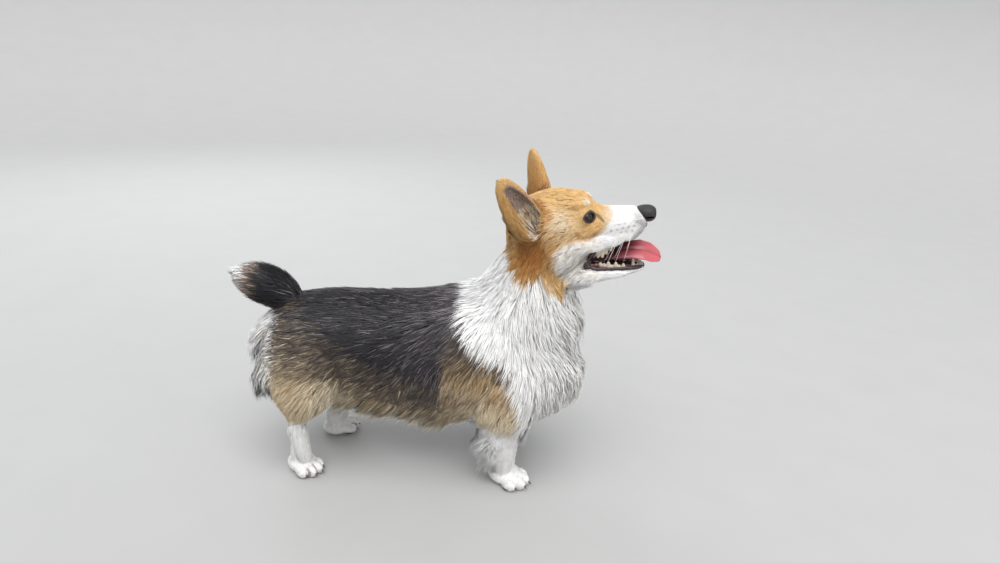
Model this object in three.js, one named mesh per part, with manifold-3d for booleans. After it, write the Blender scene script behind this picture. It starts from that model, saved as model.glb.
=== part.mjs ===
// A Pembroke Welsh corgi as a still, life-size museum model: standing, head raised and turned
// a little to its right, mouth open, tongue out and the tail carried over the rump.
// Millimetres. X runs forward along the dog, Y to its left, Z up, with the floor at Z = 0.
import * as THREE from 'three';
import { mergeVertices } from 'three/addons/utils/BufferGeometryUtils.js';
import Module from 'manifold-3d';

const wasm = await Module();
wasm.setup();
const { Manifold, Mesh: SolidMesh } = wasm;

// Driving dimensions
const CENTRE_X = 26.8;      // from the zero the lofts are drawn from to the middle of the whole dog
const CENTRE_Y = -2.4;
const GAP = 0.4;            // kept between neighbouring pieces
const RIGHT = -1;
const LEFT = 1;

// Materials
const coat = (colour) => new THREE.MeshStandardMaterial({ color: colour, roughness: 0.85, metalness: 0 });
const BLACK_COAT = coat(0x2b2524);
const SABLE_COAT = coat(0x8a6b4a);
const TAN_COAT = coat(0xc98f4e);
const WHITE_COAT = coat(0xeeeae4);
const NOSE_LEATHER = new THREE.MeshStandardMaterial({ color: 0x1c1a1c, roughness: 0.45, metalness: 0 });
const EYE_BROWN = new THREE.MeshStandardMaterial({ color: 0x24140d, roughness: 0.08, metalness: 0 });
const TONGUE_PINK = new THREE.MeshStandardMaterial({ color: 0xc4606a, roughness: 0.4, metalness: 0 });
const LIP_BLACK = new THREE.MeshStandardMaterial({ color: 0x352224, roughness: 0.5, metalness: 0 });

// Solids

// A closed geometry as a solid, with its faces turned outwards.
function solid(geometry) {
  const bare = geometry.index ? geometry.toNonIndexed() : geometry.clone();
  for (const name of Object.keys(bare.attributes)) if (name !== 'position') bare.deleteAttribute(name);
  const merged = mergeVertices(bare, 1e-4);
  const vertProperties = new Float32Array(merged.attributes.position.array);
  const triVerts = new Uint32Array(merged.index.array);
  const made = new Manifold(new SolidMesh({ numProp: 3, vertProperties, triVerts }));
  if (made.volume() > 0) return made;
  for (let i = 0; i < triVerts.length; i += 3) {
    [triVerts[i + 1], triVerts[i + 2]] = [triVerts[i + 2], triVerts[i + 1]];
  }
  return new Manifold(new SolidMesh({ numProp: 3, vertProperties, triVerts }));
}

const join = (pieces) => (pieces.length > 1 ? Manifold.union(pieces) : pieces[0]);
const cut = (body, tools) => tools.reduce((left, tool) => left.subtract(tool), body);
const turned = (body, matrix) => body.transform(matrix.elements);

function largest(body) {
  return body.decompose().reduce((best, piece) => (piece.volume() > best.volume() ? piece : best));
}

function toGeometry(body) {
  const mesh = body.getMesh();
  const places = new Float32Array(mesh.numVert * 3);
  for (let i = 0; i < mesh.numVert; i += 1) {
    places.set(mesh.vertProperties.subarray(i * mesh.numProp, i * mesh.numProp + 3), i * 3);
  }
  return new THREE.BufferGeometry()
    .setAttribute('position', new THREE.BufferAttribute(places, 3))
    .setIndex(new THREE.BufferAttribute(new Uint32Array(mesh.triVerts), 1));
}

function node(name, body, material, tools = []) {
  const mesh = new THREE.Mesh(toGeometry(largest(cut(body, tools))), material);
  mesh.name = name;
  return mesh;
}

// A smooth run through rows of numbers, each starting with its place along the run.
function run(rows) {
  const size = rows[0].length - 1;
  const places = rows.map((row) => row[0]);
  const values = rows.flatMap((row) => row.slice(1));
  const spline = new THREE.CubicInterpolant(places, values, size, new Float64Array(size));
  return (place) => Array.from(spline.evaluate(place));
}

const vector = (x, y, z) => new THREE.Vector3(x, y, z);
const ORIGIN = vector(0, 0, 0);
const X = vector(1, 0, 0);
const Y = vector(0, 1, 0);
const Z = vector(0, 0, 1);

// A body skinned over cross-sections. A row is [place along, high edge, low edge, half width, middle],
// with the edges measured along `across` and the width along `side`, and the section is a
// superellipse of that power. `grow` swells the whole body by that much.
function loft(rows, { at = ORIGIN, along, across, side, steps = 12, around = 14, power = 2.1, grow = 0 }) {
  const section = run(rows);
  const first = rows[0][0];
  const last = rows[rows.length - 1][0];
  const places = [];
  const point = (s, u, v) => {
    const p = at.clone().addScaledVector(along, s).addScaledVector(across, u).addScaledVector(side, v);
    places.push(p.x, p.y, p.z);
  };
  const bulge = (value) => Math.sign(value) * Math.abs(value) ** (2 / power);
  for (let i = 0; i <= steps; i += 1) {
    const share = i / steps;
    const s = first + (last - first) * share;
    const [high, low, half, middle] = section(s);
    const grown = s + grow * Math.sign(last - first) * (2 * share - 1);
    for (let k = 0; k < around; k += 1) {
      const angle = (2 * Math.PI * k) / around;
      const rise = (high - low) / 2 + grow;
      const u = (high + low) / 2 + rise * bulge(Math.sin(angle));
      point(grown, u, middle + (half + grow) * bulge(Math.cos(angle)));
    }
  }
  const ends = [0, 1].map((end) => {
    const s = end ? last : first;
    const [high, low, , middle] = section(s);
    point(s + grow * Math.sign(last - first) * (2 * end - 1), (high + low) / 2, middle);
    return places.length / 3 - 1;
  });
  const faces = [];
  for (let k = 0; k < around; k += 1) {
    const next = (k + 1) % around;
    for (let i = 0; i < steps; i += 1) {
      const [a, b] = [i * around + k, i * around + next];
      faces.push(a, b, b + around, a, b + around, a + around);
    }
    faces.push(ends[0], next, k, ends[1], steps * around + k, steps * around + next);
  }
  const made = new THREE.BufferGeometry();
  made.setAttribute('position', new THREE.BufferAttribute(new Float32Array(places), 3));
  made.setIndex(faces);
  return solid(made);
}

function ellipsoid(centre, radii, { turn = new THREE.Matrix4(), across = 12, down = 8 } = {}) {
  const ball = new THREE.SphereGeometry(1, across, down);
  ball.scale(radii.x, radii.y, radii.z).applyMatrix4(turn).translate(centre.x, centre.y, centre.z);
  return solid(ball);
}

// A closed body swept along a run of points. At each point it is `half` wide across the run and `deep`
// thick along `outs`; the last point is drawn to a tip. `grow` swells it by that much.
function sweep(points, outs, halves, depths, { sides = 4, grow = 0 } = {}) {
  const places = [];
  const last = points.length - 1;
  const way = (i) => points[Math.min(i + 1, last)].clone().sub(points[Math.max(i - 1, 0)]).normalize();
  for (let i = 0; i < last; i += 1) {
    const across = outs[i].clone().cross(way(i)).normalize();
    const out = way(i).cross(across).normalize();
    const middle = i ? points[0 + i].clone() : points[0].clone().addScaledVector(way(0), -grow);
    for (let k = 0; k < sides; k += 1) {
      const angle = (2 * Math.PI * k) / sides;
      const ring = middle.clone().addScaledVector(across, (halves[i] + grow) * Math.cos(angle));
      ring.addScaledVector(out, (depths[i] + grow) * Math.sin(angle));
      places.push(ring.x, ring.y, ring.z);
    }
  }
  const root = points[0].clone().addScaledVector(way(0), -grow);
  const tip = points[last].clone().addScaledVector(way(last), 3 * grow);
  places.push(root.x, root.y, root.z, tip.x, tip.y, tip.z);
  const faces = [];
  for (let k = 0; k < sides; k += 1) {
    const next = (k + 1) % sides;
    for (let i = 0; i < last - 1; i += 1) {
      const [a, b] = [i * sides + k, i * sides + next];
      faces.push(a, b, b + sides, a, b + sides, a + sides);
    }
    faces.push(last * sides, next, k, last * sides + 1, (last - 1) * sides + k, (last - 1) * sides + next);
  }
  const made = new THREE.BufferGeometry();
  made.setAttribute('position', new THREE.BufferAttribute(new Float32Array(places), 3));
  made.setIndex(faces);
  return solid(made);
}

const radians = THREE.MathUtils.degToRad;
const mirrored = (body) => body.mirror([0, 1, 0]);

// Torso and chest: [x, top, bottom, half width, middle y]
const TORSO_ROWS = [
  [-243, 228, 196, 12, 0],
  [-238, 245, 172, 40, 0],
  [-215, 270, 140, 70, 0],
  [-180, 284, 118, 82, 0],
  [-130, 290, 106, 86, 0],
  [-60, 291, 98, 91, 0],
  [10, 296, 90, 96, 0],
  [70, 314, 86, 99, 0],
  [120, 318, 86, 97, 0],
  [175, 294, 90, 86, 0],
  [218, 258, 104, 68, 0],
  [242, 222, 132, 42, 0],
  [249, 200, 156, 14, 0],
];
const BODY_AXES = { along: X, across: Z, side: Y };
const CHEST_FROM = 172;     // the plane where the chest begins
const torsoLoft = (grow) => loft(TORSO_ROWS, { ...BODY_AXES, steps: 16, around: 20, power: 2.25, grow });
const bodyCore = torsoLoft(0);
const bodyGrown = torsoLoft(GAP);

// Neck: its rings lean with it. A row is [up the neck, front edge, back edge, half width, middle y].
const NECK_LEAN = radians(20);
const NECK_AXES = {
  at: vector(118, 0, 232),
  along: vector(Math.sin(NECK_LEAN), 0, Math.cos(NECK_LEAN)),
  across: vector(Math.cos(NECK_LEAN), 0, -Math.sin(NECK_LEAN)),
  side: Y,
};
const NECK_ROWS = [
  [-40, 72, -40, 50, 0],
  [-10, 108, -68, 76, 0],
  [40, 108, -64, 76, 0],
  [90, 94, -54, 68, -1],
  [140, 70, -46, 60, -3],
  [185, 48, -38, 52, -4],
  [215, 30, -26, 38, -5],
];
const neckLoft = (grow) => loft(NECK_ROWS, { ...NECK_AXES, steps: 9, around: 16, grow });
const neckCore = neckLoft(0);
const neckGrown = neckLoft(GAP);

// Head, in its own frame: X along the skull to the nose, Z up out of the crown.
// It is turned to the dog's right, lifted, and rolled a little.
const HEAD_AT = vector(165, 0, 420);
const HEAD_TURN = new THREE.Euler(radians(3), radians(-8), radians(-12), 'ZYX');
const headPose = new THREE.Matrix4().makeRotationFromEuler(HEAD_TURN).setPosition(HEAD_AT);
const HEAD_AXES = { along: X, across: Z, side: Y };

// [x, top, underside, half width, middle y]
const SKULL_ROWS = [
  [-46, 6, -36, 14, 0],
  [-36, 20, -56, 38, 0],
  [-10, 38, -78, 55, 0],
  [20, 46, -86, 61, 0],
  [44, 45, -86, 57, 0],
  [62, 41, -76, 49, 0],
  [75, 33, -60, 40, 0],
  [86, 22, -44, 33, 0],
  [100, 17, -37, 28, 0],
  [125, 17, -35, 24, 0],
  [145, 17, -28, 20, 0],
  [156, 15, -19, 16, 0],
  [160, 8, -10, 8, 0],
];
const PALATE_ROWS = [
  [78, -36, -70, 12, 0],
  [90, -28, -70, 20, 0],
  [120, -23, -64, 16, 0],
  [142, -17, -54, 10, 0],
  [150, -18, -44, 4, 0],
];
const JAW_ROWS = [
  [18, -74, -100, 22, 0],
  [34, -64, -108, 42, 0],
  [60, -60, -107, 40, 0],
  [82, -64, -101, 33, 0],
  [105, -68, -93, 27, 0],
  [130, -69, -87, 21, 0],
  [148, -69, -82, 15.5, 0],
  [157, -71, -77, 8, 0],
];
const FLOOR_OF_MOUTH_ROWS = [
  [72, -50, -78, 18, 0],
  [90, -50, -81, 23, 0],
  [120, -50, -79, 17, 0],
  [142, -50, -76, 10, 0],
  [150, -52, -71, 4, 0],
];
const skullLoft = (grow) => loft(SKULL_ROWS, { ...HEAD_AXES, steps: 20, around: 18, power: 2.3, grow });
const jawLoft = (grow) => loft(JAW_ROWS, { ...HEAD_AXES, steps: 11, around: 14, power: 2.3, grow });
const skullGrown = skullLoft(GAP);

// The dark edge of each lip, from the corner of the mouth forward, on the left side
const UPPER_LIP = [
  [72, 34, -50], [81, 33, -43], [94, 29, -35], [114, 24, -30.5], [135, 20, -27], [150, 14, -19],
  [160, 3, -10],
];
const LOWER_LIP = [
  [72, 34, -62], [82, 31.5, -67.5], [98, 28, -70], [118, 23.5, -71], [136, 19, -71], [149, 12, -71],
  [156, 0, -73],
];
const LIP = { thick: 3, upper: 7, lower: 2.8 };

// A lip hangs `deep` above and below its line.
function lip(row, deep) {
  const points = row.map((place) => vector(...place));
  const taper = points.map((_, i) => (i ? 1 : 0.5));
  return sweep(points, points.map(() => Z), taper.map((t) => t * LIP.thick), taper.map((t) => t * deep));
}

// Lower teeth on the left side: [x, y, width along the jaw, height]. The fourth premolar and the molar are
// the broad ones; the canine stands tallest.
const TEETH = [
  [85, 25, 4.5, 6],
  [95, 23.5, 7, 8.5],
  [107, 21, 5.5, 7.5],
  [117, 19, 4.5, 6.5],
  [126, 17, 4, 5.5],
  [142, 11.5, 3.2, 12],
  [148.5, 5, 3, 5],
];
const TOOTH_ROOT = -79;

function tooth([x, y, half, height]) {
  const rise = height - 72 - TOOTH_ROOT;
  const cone = new THREE.CylinderGeometry(0.2, 1, rise, 4).rotateX(Math.PI / 2);
  cone.scale(half, Math.min(half, 3.2), 1).translate(x, y, TOOTH_ROOT + rise / 2);
  return solid(cone);
}

// Tongue: it lies tilted, with its right edge low, and hangs out past the chin.
const TONGUE_ROLL = radians(30);
const TONGUE_AXES = {
  at: vector(0, -4, -50),
  along: X,
  across: vector(0, -Math.sin(TONGUE_ROLL), Math.cos(TONGUE_ROLL)),
  side: vector(0, Math.cos(TONGUE_ROLL), Math.sin(TONGUE_ROLL)),
};
const TONGUE_ROWS = [
  [66, -8, -14, 6, 0],
  [74, -5, -15, 11, 0],
  [95, -1, -11, 14, 0],
  [120, 4, -6, 16, 0],
  [142, 7, -1, 18, 0],
  [158, 3, -5, 19, 0],
  [172, -6, -13, 16, 0],
  [180, -13, -17, 7, 0],
];
const tongueLoft = (grow) => loft(TONGUE_ROWS, { ...TONGUE_AXES, steps: 12, around: 12, power: 2.6, grow });

const NOSE_ROWS = [
  [146, 14, 8, 6, 0],
  [151, 18, -2, 12, 0],
  [158, 19.5, -8, 15, 0],
  [166, 18, -6, 14.5, 0],
  [171, 13, 0, 10, 0],
  [173, 9.5, 4, 4, 0],
];
const NOSTRIL_AT = vector(167, 6.5, 4);
const noseLoft = (grow) => loft(NOSE_ROWS, { ...HEAD_AXES, steps: 7, around: 14, grow });

// A nostril is a round pit that runs back along the side of the nose as a slit.
function nostril() {
  const slit = NOSTRIL_AT.clone().add(vector(-5, 7, -3));
  const turn = new THREE.Matrix4().makeRotationZ(radians(-18));
  const pit = ellipsoid(NOSTRIL_AT, vector(8, 3, 3.4), { across: 6, down: 5 });
  return pit.add(ellipsoid(slit, vector(7, 5, 1.8), { turn, across: 6, down: 4 }));
}

// Eyes look out and a little up; each lid is a shell round the ball with an almond-shaped opening.
const EYE_AT = vector(74.5, 26, 7);
const EYE_RADIUS = 11;
const LID = 2.4;
const LID_OPENING = vector(9, 10.5, 6.4);
const EYE_OUT = radians(44);
const EYE_UP = radians(-8);
const EYE_TILT = radians(-10);

function lidOpening() {
  const turn = new THREE.Matrix4().makeRotationFromEuler(new THREE.Euler(EYE_TILT, EYE_UP, EYE_OUT, 'ZYX'));
  const at = vector(EYE_RADIUS + LID, 0, 0).applyMatrix4(turn).add(EYE_AT);
  return ellipsoid(at, LID_OPENING, { turn, across: 10, down: 6 });
}

const ball = (radius) => ellipsoid(EYE_AT, vector(radius, radius, radius), { across: 11, down: 7 });

// Ears, each in a frame of its own that stands on the side of the skull: [up the ear, front of the
// shell, back of the shell, half width, middle]
const EAR_ROWS = [
  [-16, 6, -14, 14, 0],
  [-6, 12, -18, 22, 0],
  [15, 13, -18, 27.5, 0],
  [45, 9, -14, 24.5, 0],
  [72, 5, -9, 17.5, 0],
  [90, 3, -6, 9.5, 0],
  [98, 0, -4, 3.5, 0],
];
const EAR_CUP_ROWS = [
  [-8, 30, -2, 8, 0],
  [4, 30, -10, 16, 0],
  [20, 30, -12, 22, 0],
  [45, 30, -8, 18.5, 0],
  [72, 30, -4, 11.5, 0],
  [88, 30, -1, 4, 0],
];
const EARS = {
  right: { at: vector(4, -53, -6), up: vector(-30, -20, 68), opens: vector(0.35, -0.93, 0) },
  left: { at: vector(7, 48, 0), up: vector(-16, 22, 76), opens: vector(0.7, 0.7, 0) },
};

function earSolid({ at, up, opens }) {
  const along = up.clone().normalize();
  const side = along.clone().cross(opens).normalize();
  const axes = { at, along, across: side.clone().cross(along), side };
  const shell = loft(EAR_ROWS, { ...axes, steps: 9, around: 12, power: 2 });
  return cut(shell, [loft(EAR_CUP_ROWS, { ...axes, steps: 6, around: 12, power: 2 }), skullGrown]);
}

// Legs: [height, front x, back x, half width, middle y of the left leg]
const THIGH_ROWS = [
  [82, -164, -184, 10, 70],
  [90, -156, -189, 18, 72],
  [105, -140, -196, 25, 73],
  [130, -112, -211, 34, 71],
  [165, -98, -224, 39, 65],
  [205, -98, -228, 40, 57],
  [245, -114, -222, 34, 49],
  [270, -140, -200, 18, 42],
];
const HOCK_ROWS = [
  [14, -150, -176, 13, 62],
  [35, -152, -181, 15.5, 66],
  [65, -154, -186, 17, 70],
  [88, -158, -188, 16, 72],
  [100, -162, -184, 10, 73],
];
const UPPER_ARM_ROWS = [
  [88, 158, 112, 14, 70],
  [96, 170, 104, 24, 71],
  [115, 182, 96, 32, 71],
  [150, 193, 88, 36, 69],
  [190, 194, 90, 33, 66],
  [222, 180, 102, 22, 60],
  [240, 160, 120, 8, 56],
];
const FOREARM_ROWS = [
  [14, 160, 132, 15, 58],
  [35, 164, 126, 18.5, 62],
  [65, 166, 120, 21, 67],
  [95, 169, 113, 25, 70],
  [115, 162, 118, 18, 71],
];
const LEG_AXES = { along: Z, across: X, side: Y };
const FAR_HIND_AHEAD = 31;  // the left legs stand this much further forward than the right ones
const FAR_FORE_AHEAD = -18;

function legLoft(rows, side, ahead, grow) {
  const placed = rows.map(([z, front, back, half, y]) => [z, front + ahead, back + ahead, half, side * y]);
  return loft(placed, { ...LEG_AXES, steps: rows === THIGH_ROWS ? 9 : 6, around: 12, grow });
}

// Paws, each in a frame of its own: X out to the toes, the floor at Z = 0
const TOES = [
  { at: vector(13, -18, 9), size: vector(13, 7.5, 10.5) },
  { at: vector(21, -6.5, 10), size: vector(14, 8, 12) },
  { at: vector(21, 7.5, 10), size: vector(14, 8, 12) },
  { at: vector(12, 19, 9), size: vector(13, 7.5, 10.5) },
];
const HEEL = { at: vector(-6, 0, 13), size: vector(27, 23, 17) };
const CLAW = { length: 12, radius: 2.7, droop: radians(35) };
const PAWS = {
  fore: { at: vector(155, 57, 0), turn: radians(30), scale: 1.04 },
  hind: { at: vector(-166, 59, 0), turn: radians(32), scale: 0.93 },
};

function pawSolid({ at, turn, scale }, side, ahead) {
  const pieces = [ellipsoid(HEEL.at, HEEL.size, { across: 10, down: 6 })];
  for (const toe of TOES) {
    pieces.push(ellipsoid(toe.at, toe.size, { across: 6, down: 5 }));
    const claw = new THREE.ConeGeometry(CLAW.radius, CLAW.length, 4);
    claw.translate(0, CLAW.length / 2, 0).rotateZ(-Math.PI / 2 - CLAW.droop);
    claw.translate(toe.at.x + toe.size.x - 4, toe.at.y, toe.at.z - 0.5);
    pieces.push(solid(claw));
  }
  const place = new THREE.Matrix4()
    .makeRotationZ(side * turn)
    .scale(vector(scale, scale, scale))
    .setPosition(at.x + ahead, side * at.y, 0);
  return turned(join(pieces), place).trimByPlane([0, 0, 1], 0);
}

// Tail: [along the tail, upper edge, lower edge, half width, middle]
const TAIL_RISE = radians(15);
const TAIL_AXES = {
  at: vector(-190, 0, 262),
  along: vector(-Math.cos(TAIL_RISE), 0, Math.sin(TAIL_RISE)),
  across: vector(Math.sin(TAIL_RISE), 0, Math.cos(TAIL_RISE)),
  side: Y,
};
const TAIL_ROWS = [
  [-14, 10, -24, 14, 0],
  [12, 27, -22, 23, 0],
  [42, 36, -14, 24, 0],
  [66, 35, -8, 21, 0],
  [86, 28, 1, 14, 0],
  [94, 20, 8, 5, 0],
];
const tailCore = loft(TAIL_ROWS, { ...TAIL_AXES, steps: 7, around: 12 });

// Locks of the long coat: flat tapered blades that lie over one another, roots sunk well into the core.
const flesh = [bodyCore, neckCore, tailCore];
for (const side of [RIGHT, LEFT]) {
  flesh.push(legLoft(THIGH_ROWS, side, side === LEFT ? FAR_HIND_AHEAD : 0, 0));
  flesh.push(legLoft(UPPER_ARM_ROWS, side, side === LEFT ? FAR_FORE_AHEAD : 0, 0));
  flesh.push(legLoft(FOREARM_ROWS, side, side === LEFT ? FAR_FORE_AHEAD : 0, 0));
}
const hide = new THREE.Mesh(toGeometry(join(flesh)), new THREE.MeshBasicMaterial({ side: THREE.DoubleSide }));
const ray = new THREE.Raycaster();

// The last place where a line from `inside` along `way` comes out of the hide, with the way out there.
function onHide(inside, way, reach = 300) {
  const aim = way.clone().normalize();
  ray.set(inside.clone().addScaledVector(aim, reach), aim.clone().negate());
  ray.far = reach;
  const hit = ray.intersectObject(hide)[0];
  return hit ? { point: hit.point, out: hit.face.normal.clone() } : null;
}

let seed = 11;
function chance(low, high) {
  seed = (seed * 16807) % 2147483647;
  return low + ((high - low) * seed) / 2147483647;
}

// A lock starts on the hide at `root`, runs along `lie` and lifts off towards its tip. `cling` is how
// closely it follows the hide: 1 lies on it, 0 hangs free.
const LOCK_SHARES = [0, 0.3, 0.65, 1];
const LOCK_LIFTS = [0, 0.2, 0.55, 1];
const LOCK_HALVES = [0.7, 1, 0.72, 0];
const ROOT_DEPTH = 9;

function lockShape(root, lie, { length, half, deep, lift, cling = 1 }) {
  const size = chance(0.88, 1.14);
  const turn = chance(-0.16, 0.16);
  const shape = { points: [], outs: [], halves: [], depths: [] };
  let { point, out } = root;
  LOCK_SHARES.forEach((share, i) => {
    const depth = i ? 1 - LOCK_LIFTS[i] : 1;
    const raised = LOCK_LIFTS[i] * lift - depth ** 3 * ROOT_DEPTH + (i ? deep * 0.6 : 0);
    shape.points.push(point.clone().addScaledVector(out, raised));
    shape.outs.push(out.clone());
    shape.halves.push(LOCK_HALVES[i] * half * size);
    shape.depths.push(deep);
    const along = lie.clone().applyAxisAngle(out, turn);
    if (cling > 0.5) along.projectOnPlane(out);
    const step = ((LOCK_SHARES[i + 1] ?? 1) - share) * length * size;
    const ahead = point.clone().addScaledVector(along.normalize(), step);
    const under = onHide(ahead.clone().addScaledVector(out, -50), out, 110) ?? { point: ahead, out };
    point = ahead.clone().lerp(under.point, cling);
    out = out.clone().lerp(under.out, 0.6 * cling).normalize();
  });
  return shape;
}

const lockSolid = (shape, grow = 0) => sweep(shape.points, shape.outs, shape.halves, shape.depths, { grow });

const even = (low, high, count, i) => low + ((high - low) * (i + 0.5)) / count;
const everyOf = (count, make) => Array.from({ length: count }, (_, i) => make(i));

// Ruff: rows of locks round the neck, [up the neck, locks in the row, length], lying down it and back.
const RUFF_ROWS = [[146, 10, 66], [108, 11, 74], [68, 12, 80], [30, 11, 74]];
const RUFF = { half: 15, deep: 4 };
const RUFF_LIFT = { front: 17, back: 6 };
const ruffLocks = RUFF_ROWS.flatMap(([up, count, length], row) => everyOf(count, (i) => {
  const angle = even(-Math.PI, Math.PI, count, i) + (row % 2) * (Math.PI / count);
  const { at, along, across } = NECK_AXES;
  const inside = at.clone().addScaledVector(along, up);
  const way = across.clone().multiplyScalar(Math.cos(angle)).addScaledVector(Y, Math.sin(angle));
  const lie = along.clone().negate().addScaledVector(X, -0.25 - 0.35 * Math.abs(Math.sin(angle)));
  const lift = THREE.MathUtils.lerp(RUFF_LIFT.back, RUFF_LIFT.front, (1 + Math.cos(angle)) / 2);
  return lockShape(onHide(inside, way), lie, { ...RUFF, length, lift });
}));

// Bib: rows down the front of the chest, [height, locks in the row, length]
const BIB_ROWS = [[204, 7, 70], [164, 8, 66], [124, 7, 52]];
const BIB = { half: 15.5, deep: 4, lift: 18 };
const BIB_SPREAD = radians(78);
const bibLocks = BIB_ROWS.flatMap(([height, count, length], row) => everyOf(count, (i) => {
  const angle = even(-BIB_SPREAD, BIB_SPREAD, count, i) * (row % 2 ? 1 : 0.9);
  const way = vector(Math.cos(angle), Math.sin(angle), 0);
  const lie = vector(-0.35, 0.25 * Math.sin(angle), -1);
  return lockShape(onHide(vector(CHEST_FROM - 2, 0, height), way), lie, { ...BIB, length });
}));

// Fringe: locks that hang from the belly, [x, out to the side]
const FRINGE = { half: 15.5, deep: 4, lift: 6, length: 56, cling: 0 };
const FRINGE_COUNT = 6;
const fringeLocks = [-0.6, 0, 0.6].flatMap((slant) => everyOf(FRINGE_COUNT, (i) => {
  const x = even(-80, 106, FRINGE_COUNT, i) + (slant ? 0 : 15);
  const root = onHide(vector(x, 0, 150), vector(0, slant, -1));
  return lockShape(root, vector(-1, 0.1 * slant, -0.45), FRINGE);
}));

// Rump: locks under the tail, between the thighs
const RUMP = { half: 15, deep: 4, lift: 15, length: 60 };
const RUMP_PLACES = [[248, -0.6], [248, 0.6], [218, -0.2], [214, 0.25], [184, -0.5], [184, 0.5], [162, 0]];
const rumpLocks = RUMP_PLACES.map(([height, aside]) => (
  lockShape(onHide(vector(-190, 0, height), vector(-1, aside, 0)), vector(-0.2, 0, -1), RUMP)
));

// Breeches: locks down the back of each thigh, [height, how far to the outer side]
const BREECHES = { half: 13.5, deep: 4, lift: 18, length: 58 };
const BREECHES_PLACES = [
  [236, 0.7], [214, 1.3], [208, 0.35], [186, 0.8], [176, 0], [162, 1.2], [150, 0.4], [132, 0.9], [122, 0.1],
];
function breechesLocks(side) {
  const ahead = side === LEFT ? FAR_HIND_AHEAD : 0;
  return BREECHES_PLACES.map(([height, aside]) => {
    const root = onHide(vector(-170 + ahead, side * 62, height), vector(-1, side * aside, 0));
    return lockShape(root, vector(-0.25, 0, -1), { ...BREECHES, length: height < 140 ? 38 : 56 });
  });
}

// Tail brush: rings of locks, [along the tail, locks in the ring, length, how closely they lie]
const BRUSH_ROWS = [[14, 5, 48, 1], [42, 6, 46, 0.7], [70, 5, 32, 0.2]];
const BRUSH = { half: 13, deep: 3.5, lift: 10 };
const brushLocks = BRUSH_ROWS.flatMap(([out, count, length, cling], row) => everyOf(count, (i) => {
  const angle = even(-Math.PI, Math.PI, count, i) + (row % 2) * (Math.PI / count);
  const { at, along, across } = TAIL_AXES;
  const inside = at.clone().addScaledVector(along, out).addScaledVector(across, 10);
  const way = across.clone().multiplyScalar(Math.cos(angle)).addScaledVector(Y, Math.sin(angle));
  const lie = along.clone().addScaledVector(way, -0.25 * (1 - cling));
  return lockShape(onHide(inside, way), lie, { ...BRUSH, length, cling });
}));

// Feathers: locks that hang behind the elbow and the forearm, [height, y of the left one]
const FEATHER = { half: 10, deep: 3.5, lift: 4, length: 42, cling: 0 };
const ELBOW_FEATHERS = [[124, 86], [112, 75], [100, 88], [98, 66]];
const SHANK_FEATHERS = [[84, 76], [68, 66]];
function featherLocks(side, places) {
  const ahead = side === LEFT ? FAR_FORE_AHEAD : 0;
  return places.map(([height, out]) => {
    const root = onHide(vector(140 + ahead, side * out, height), vector(-1, 0, 0), 90);
    return lockShape(root, vector(-0.55, 0, -1), FEATHER);
  });
}

const dog = new THREE.Group();
dog.name = 'corgi';
const posed = (body) => turned(body, headPose);
const solids = (locks, grow = 0) => locks.map((shape) => lockSolid(shape, grow));
const haired = (core, locks, tools = []) => join([core, ...solids(locks).map((lock) => cut(lock, tools))]);
const grown = (locks) => join(solids(locks, GAP));
const armsGrown = [
  legLoft(UPPER_ARM_ROWS, RIGHT, 0, GAP),
  legLoft(UPPER_ARM_ROWS, LEFT, FAR_FORE_AHEAD, GAP),
];
const headGrown = posed(join([skullGrown, jawLoft(GAP)]));
const torsoCore = bodyCore.trimByPlane([-1, 0, 0], -CHEST_FROM + GAP / 2);
const chestCore = bodyCore.trimByPlane([1, 0, 0], CHEST_FROM + GAP / 2);
const torsoGrown = torsoLoft(GAP).trimByPlane([-1, 0, 0], -CHEST_FROM);
dog.add(node('torso', haired(torsoCore, [...fringeLocks, ...rumpLocks]), BLACK_COAT));
const bib = haired(chestCore, bibLocks, [grown(ruffLocks), neckGrown, ...armsGrown]);
dog.add(node('chest', bib, WHITE_COAT, [torsoGrown]));
dog.add(node('neck', haired(neckCore, ruffLocks), WHITE_COAT, [bodyGrown, headGrown, ...armsGrown]));
const rumpGrown = grown(rumpLocks);
dog.add(node('tail', haired(tailCore, brushLocks), BLACK_COAT, [bodyGrown, rumpGrown]));

for (const side of [RIGHT, LEFT]) {
  const name = side === RIGHT ? 'right' : 'left';
  const hind = side === LEFT ? FAR_HIND_AHEAD : 0;
  const fore = side === LEFT ? FAR_FORE_AHEAD : 0;
  const thighGrown = legLoft(THIGH_ROWS, side, hind, GAP);
  const armGrown = legLoft(UPPER_ARM_ROWS, side, fore, GAP);
  const hockGrown = legLoft(HOCK_ROWS, side, hind, GAP);
  const forearmGrown = legLoft(FOREARM_ROWS, side, fore, GAP);
  const breeches = breechesLocks(side);
  const elbowFeathers = featherLocks(side, ELBOW_FEATHERS);
  const thigh = haired(legLoft(THIGH_ROWS, side, hind, 0), breeches);
  const arm = haired(legLoft(UPPER_ARM_ROWS, side, fore, 0), elbowFeathers);
  const forearm = haired(legLoft(FOREARM_ROWS, side, fore, 0), featherLocks(side, SHANK_FEATHERS));
  dog.add(node(`thigh_${name}`, thigh, SABLE_COAT, [bodyGrown, rumpGrown]));
  const hock = legLoft(HOCK_ROWS, side, hind, 0);
  dog.add(node(`hock_${name}`, hock, WHITE_COAT, [thighGrown, bodyGrown, grown(breeches)]));
  dog.add(node(`hindpaw_${name}`, pawSolid(PAWS.hind, side, hind), WHITE_COAT, [hockGrown]));
  dog.add(node(`upper_arm_${name}`, arm, TAN_COAT, [bodyGrown, grown(fringeLocks)]));
  dog.add(node(`forearm_${name}`, forearm, WHITE_COAT, [armGrown, bodyGrown, grown(elbowFeathers)]));
  dog.add(node(`forepaw_${name}`, pawSolid(PAWS.fore, side, fore), WHITE_COAT, [forearmGrown]));
}

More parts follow.
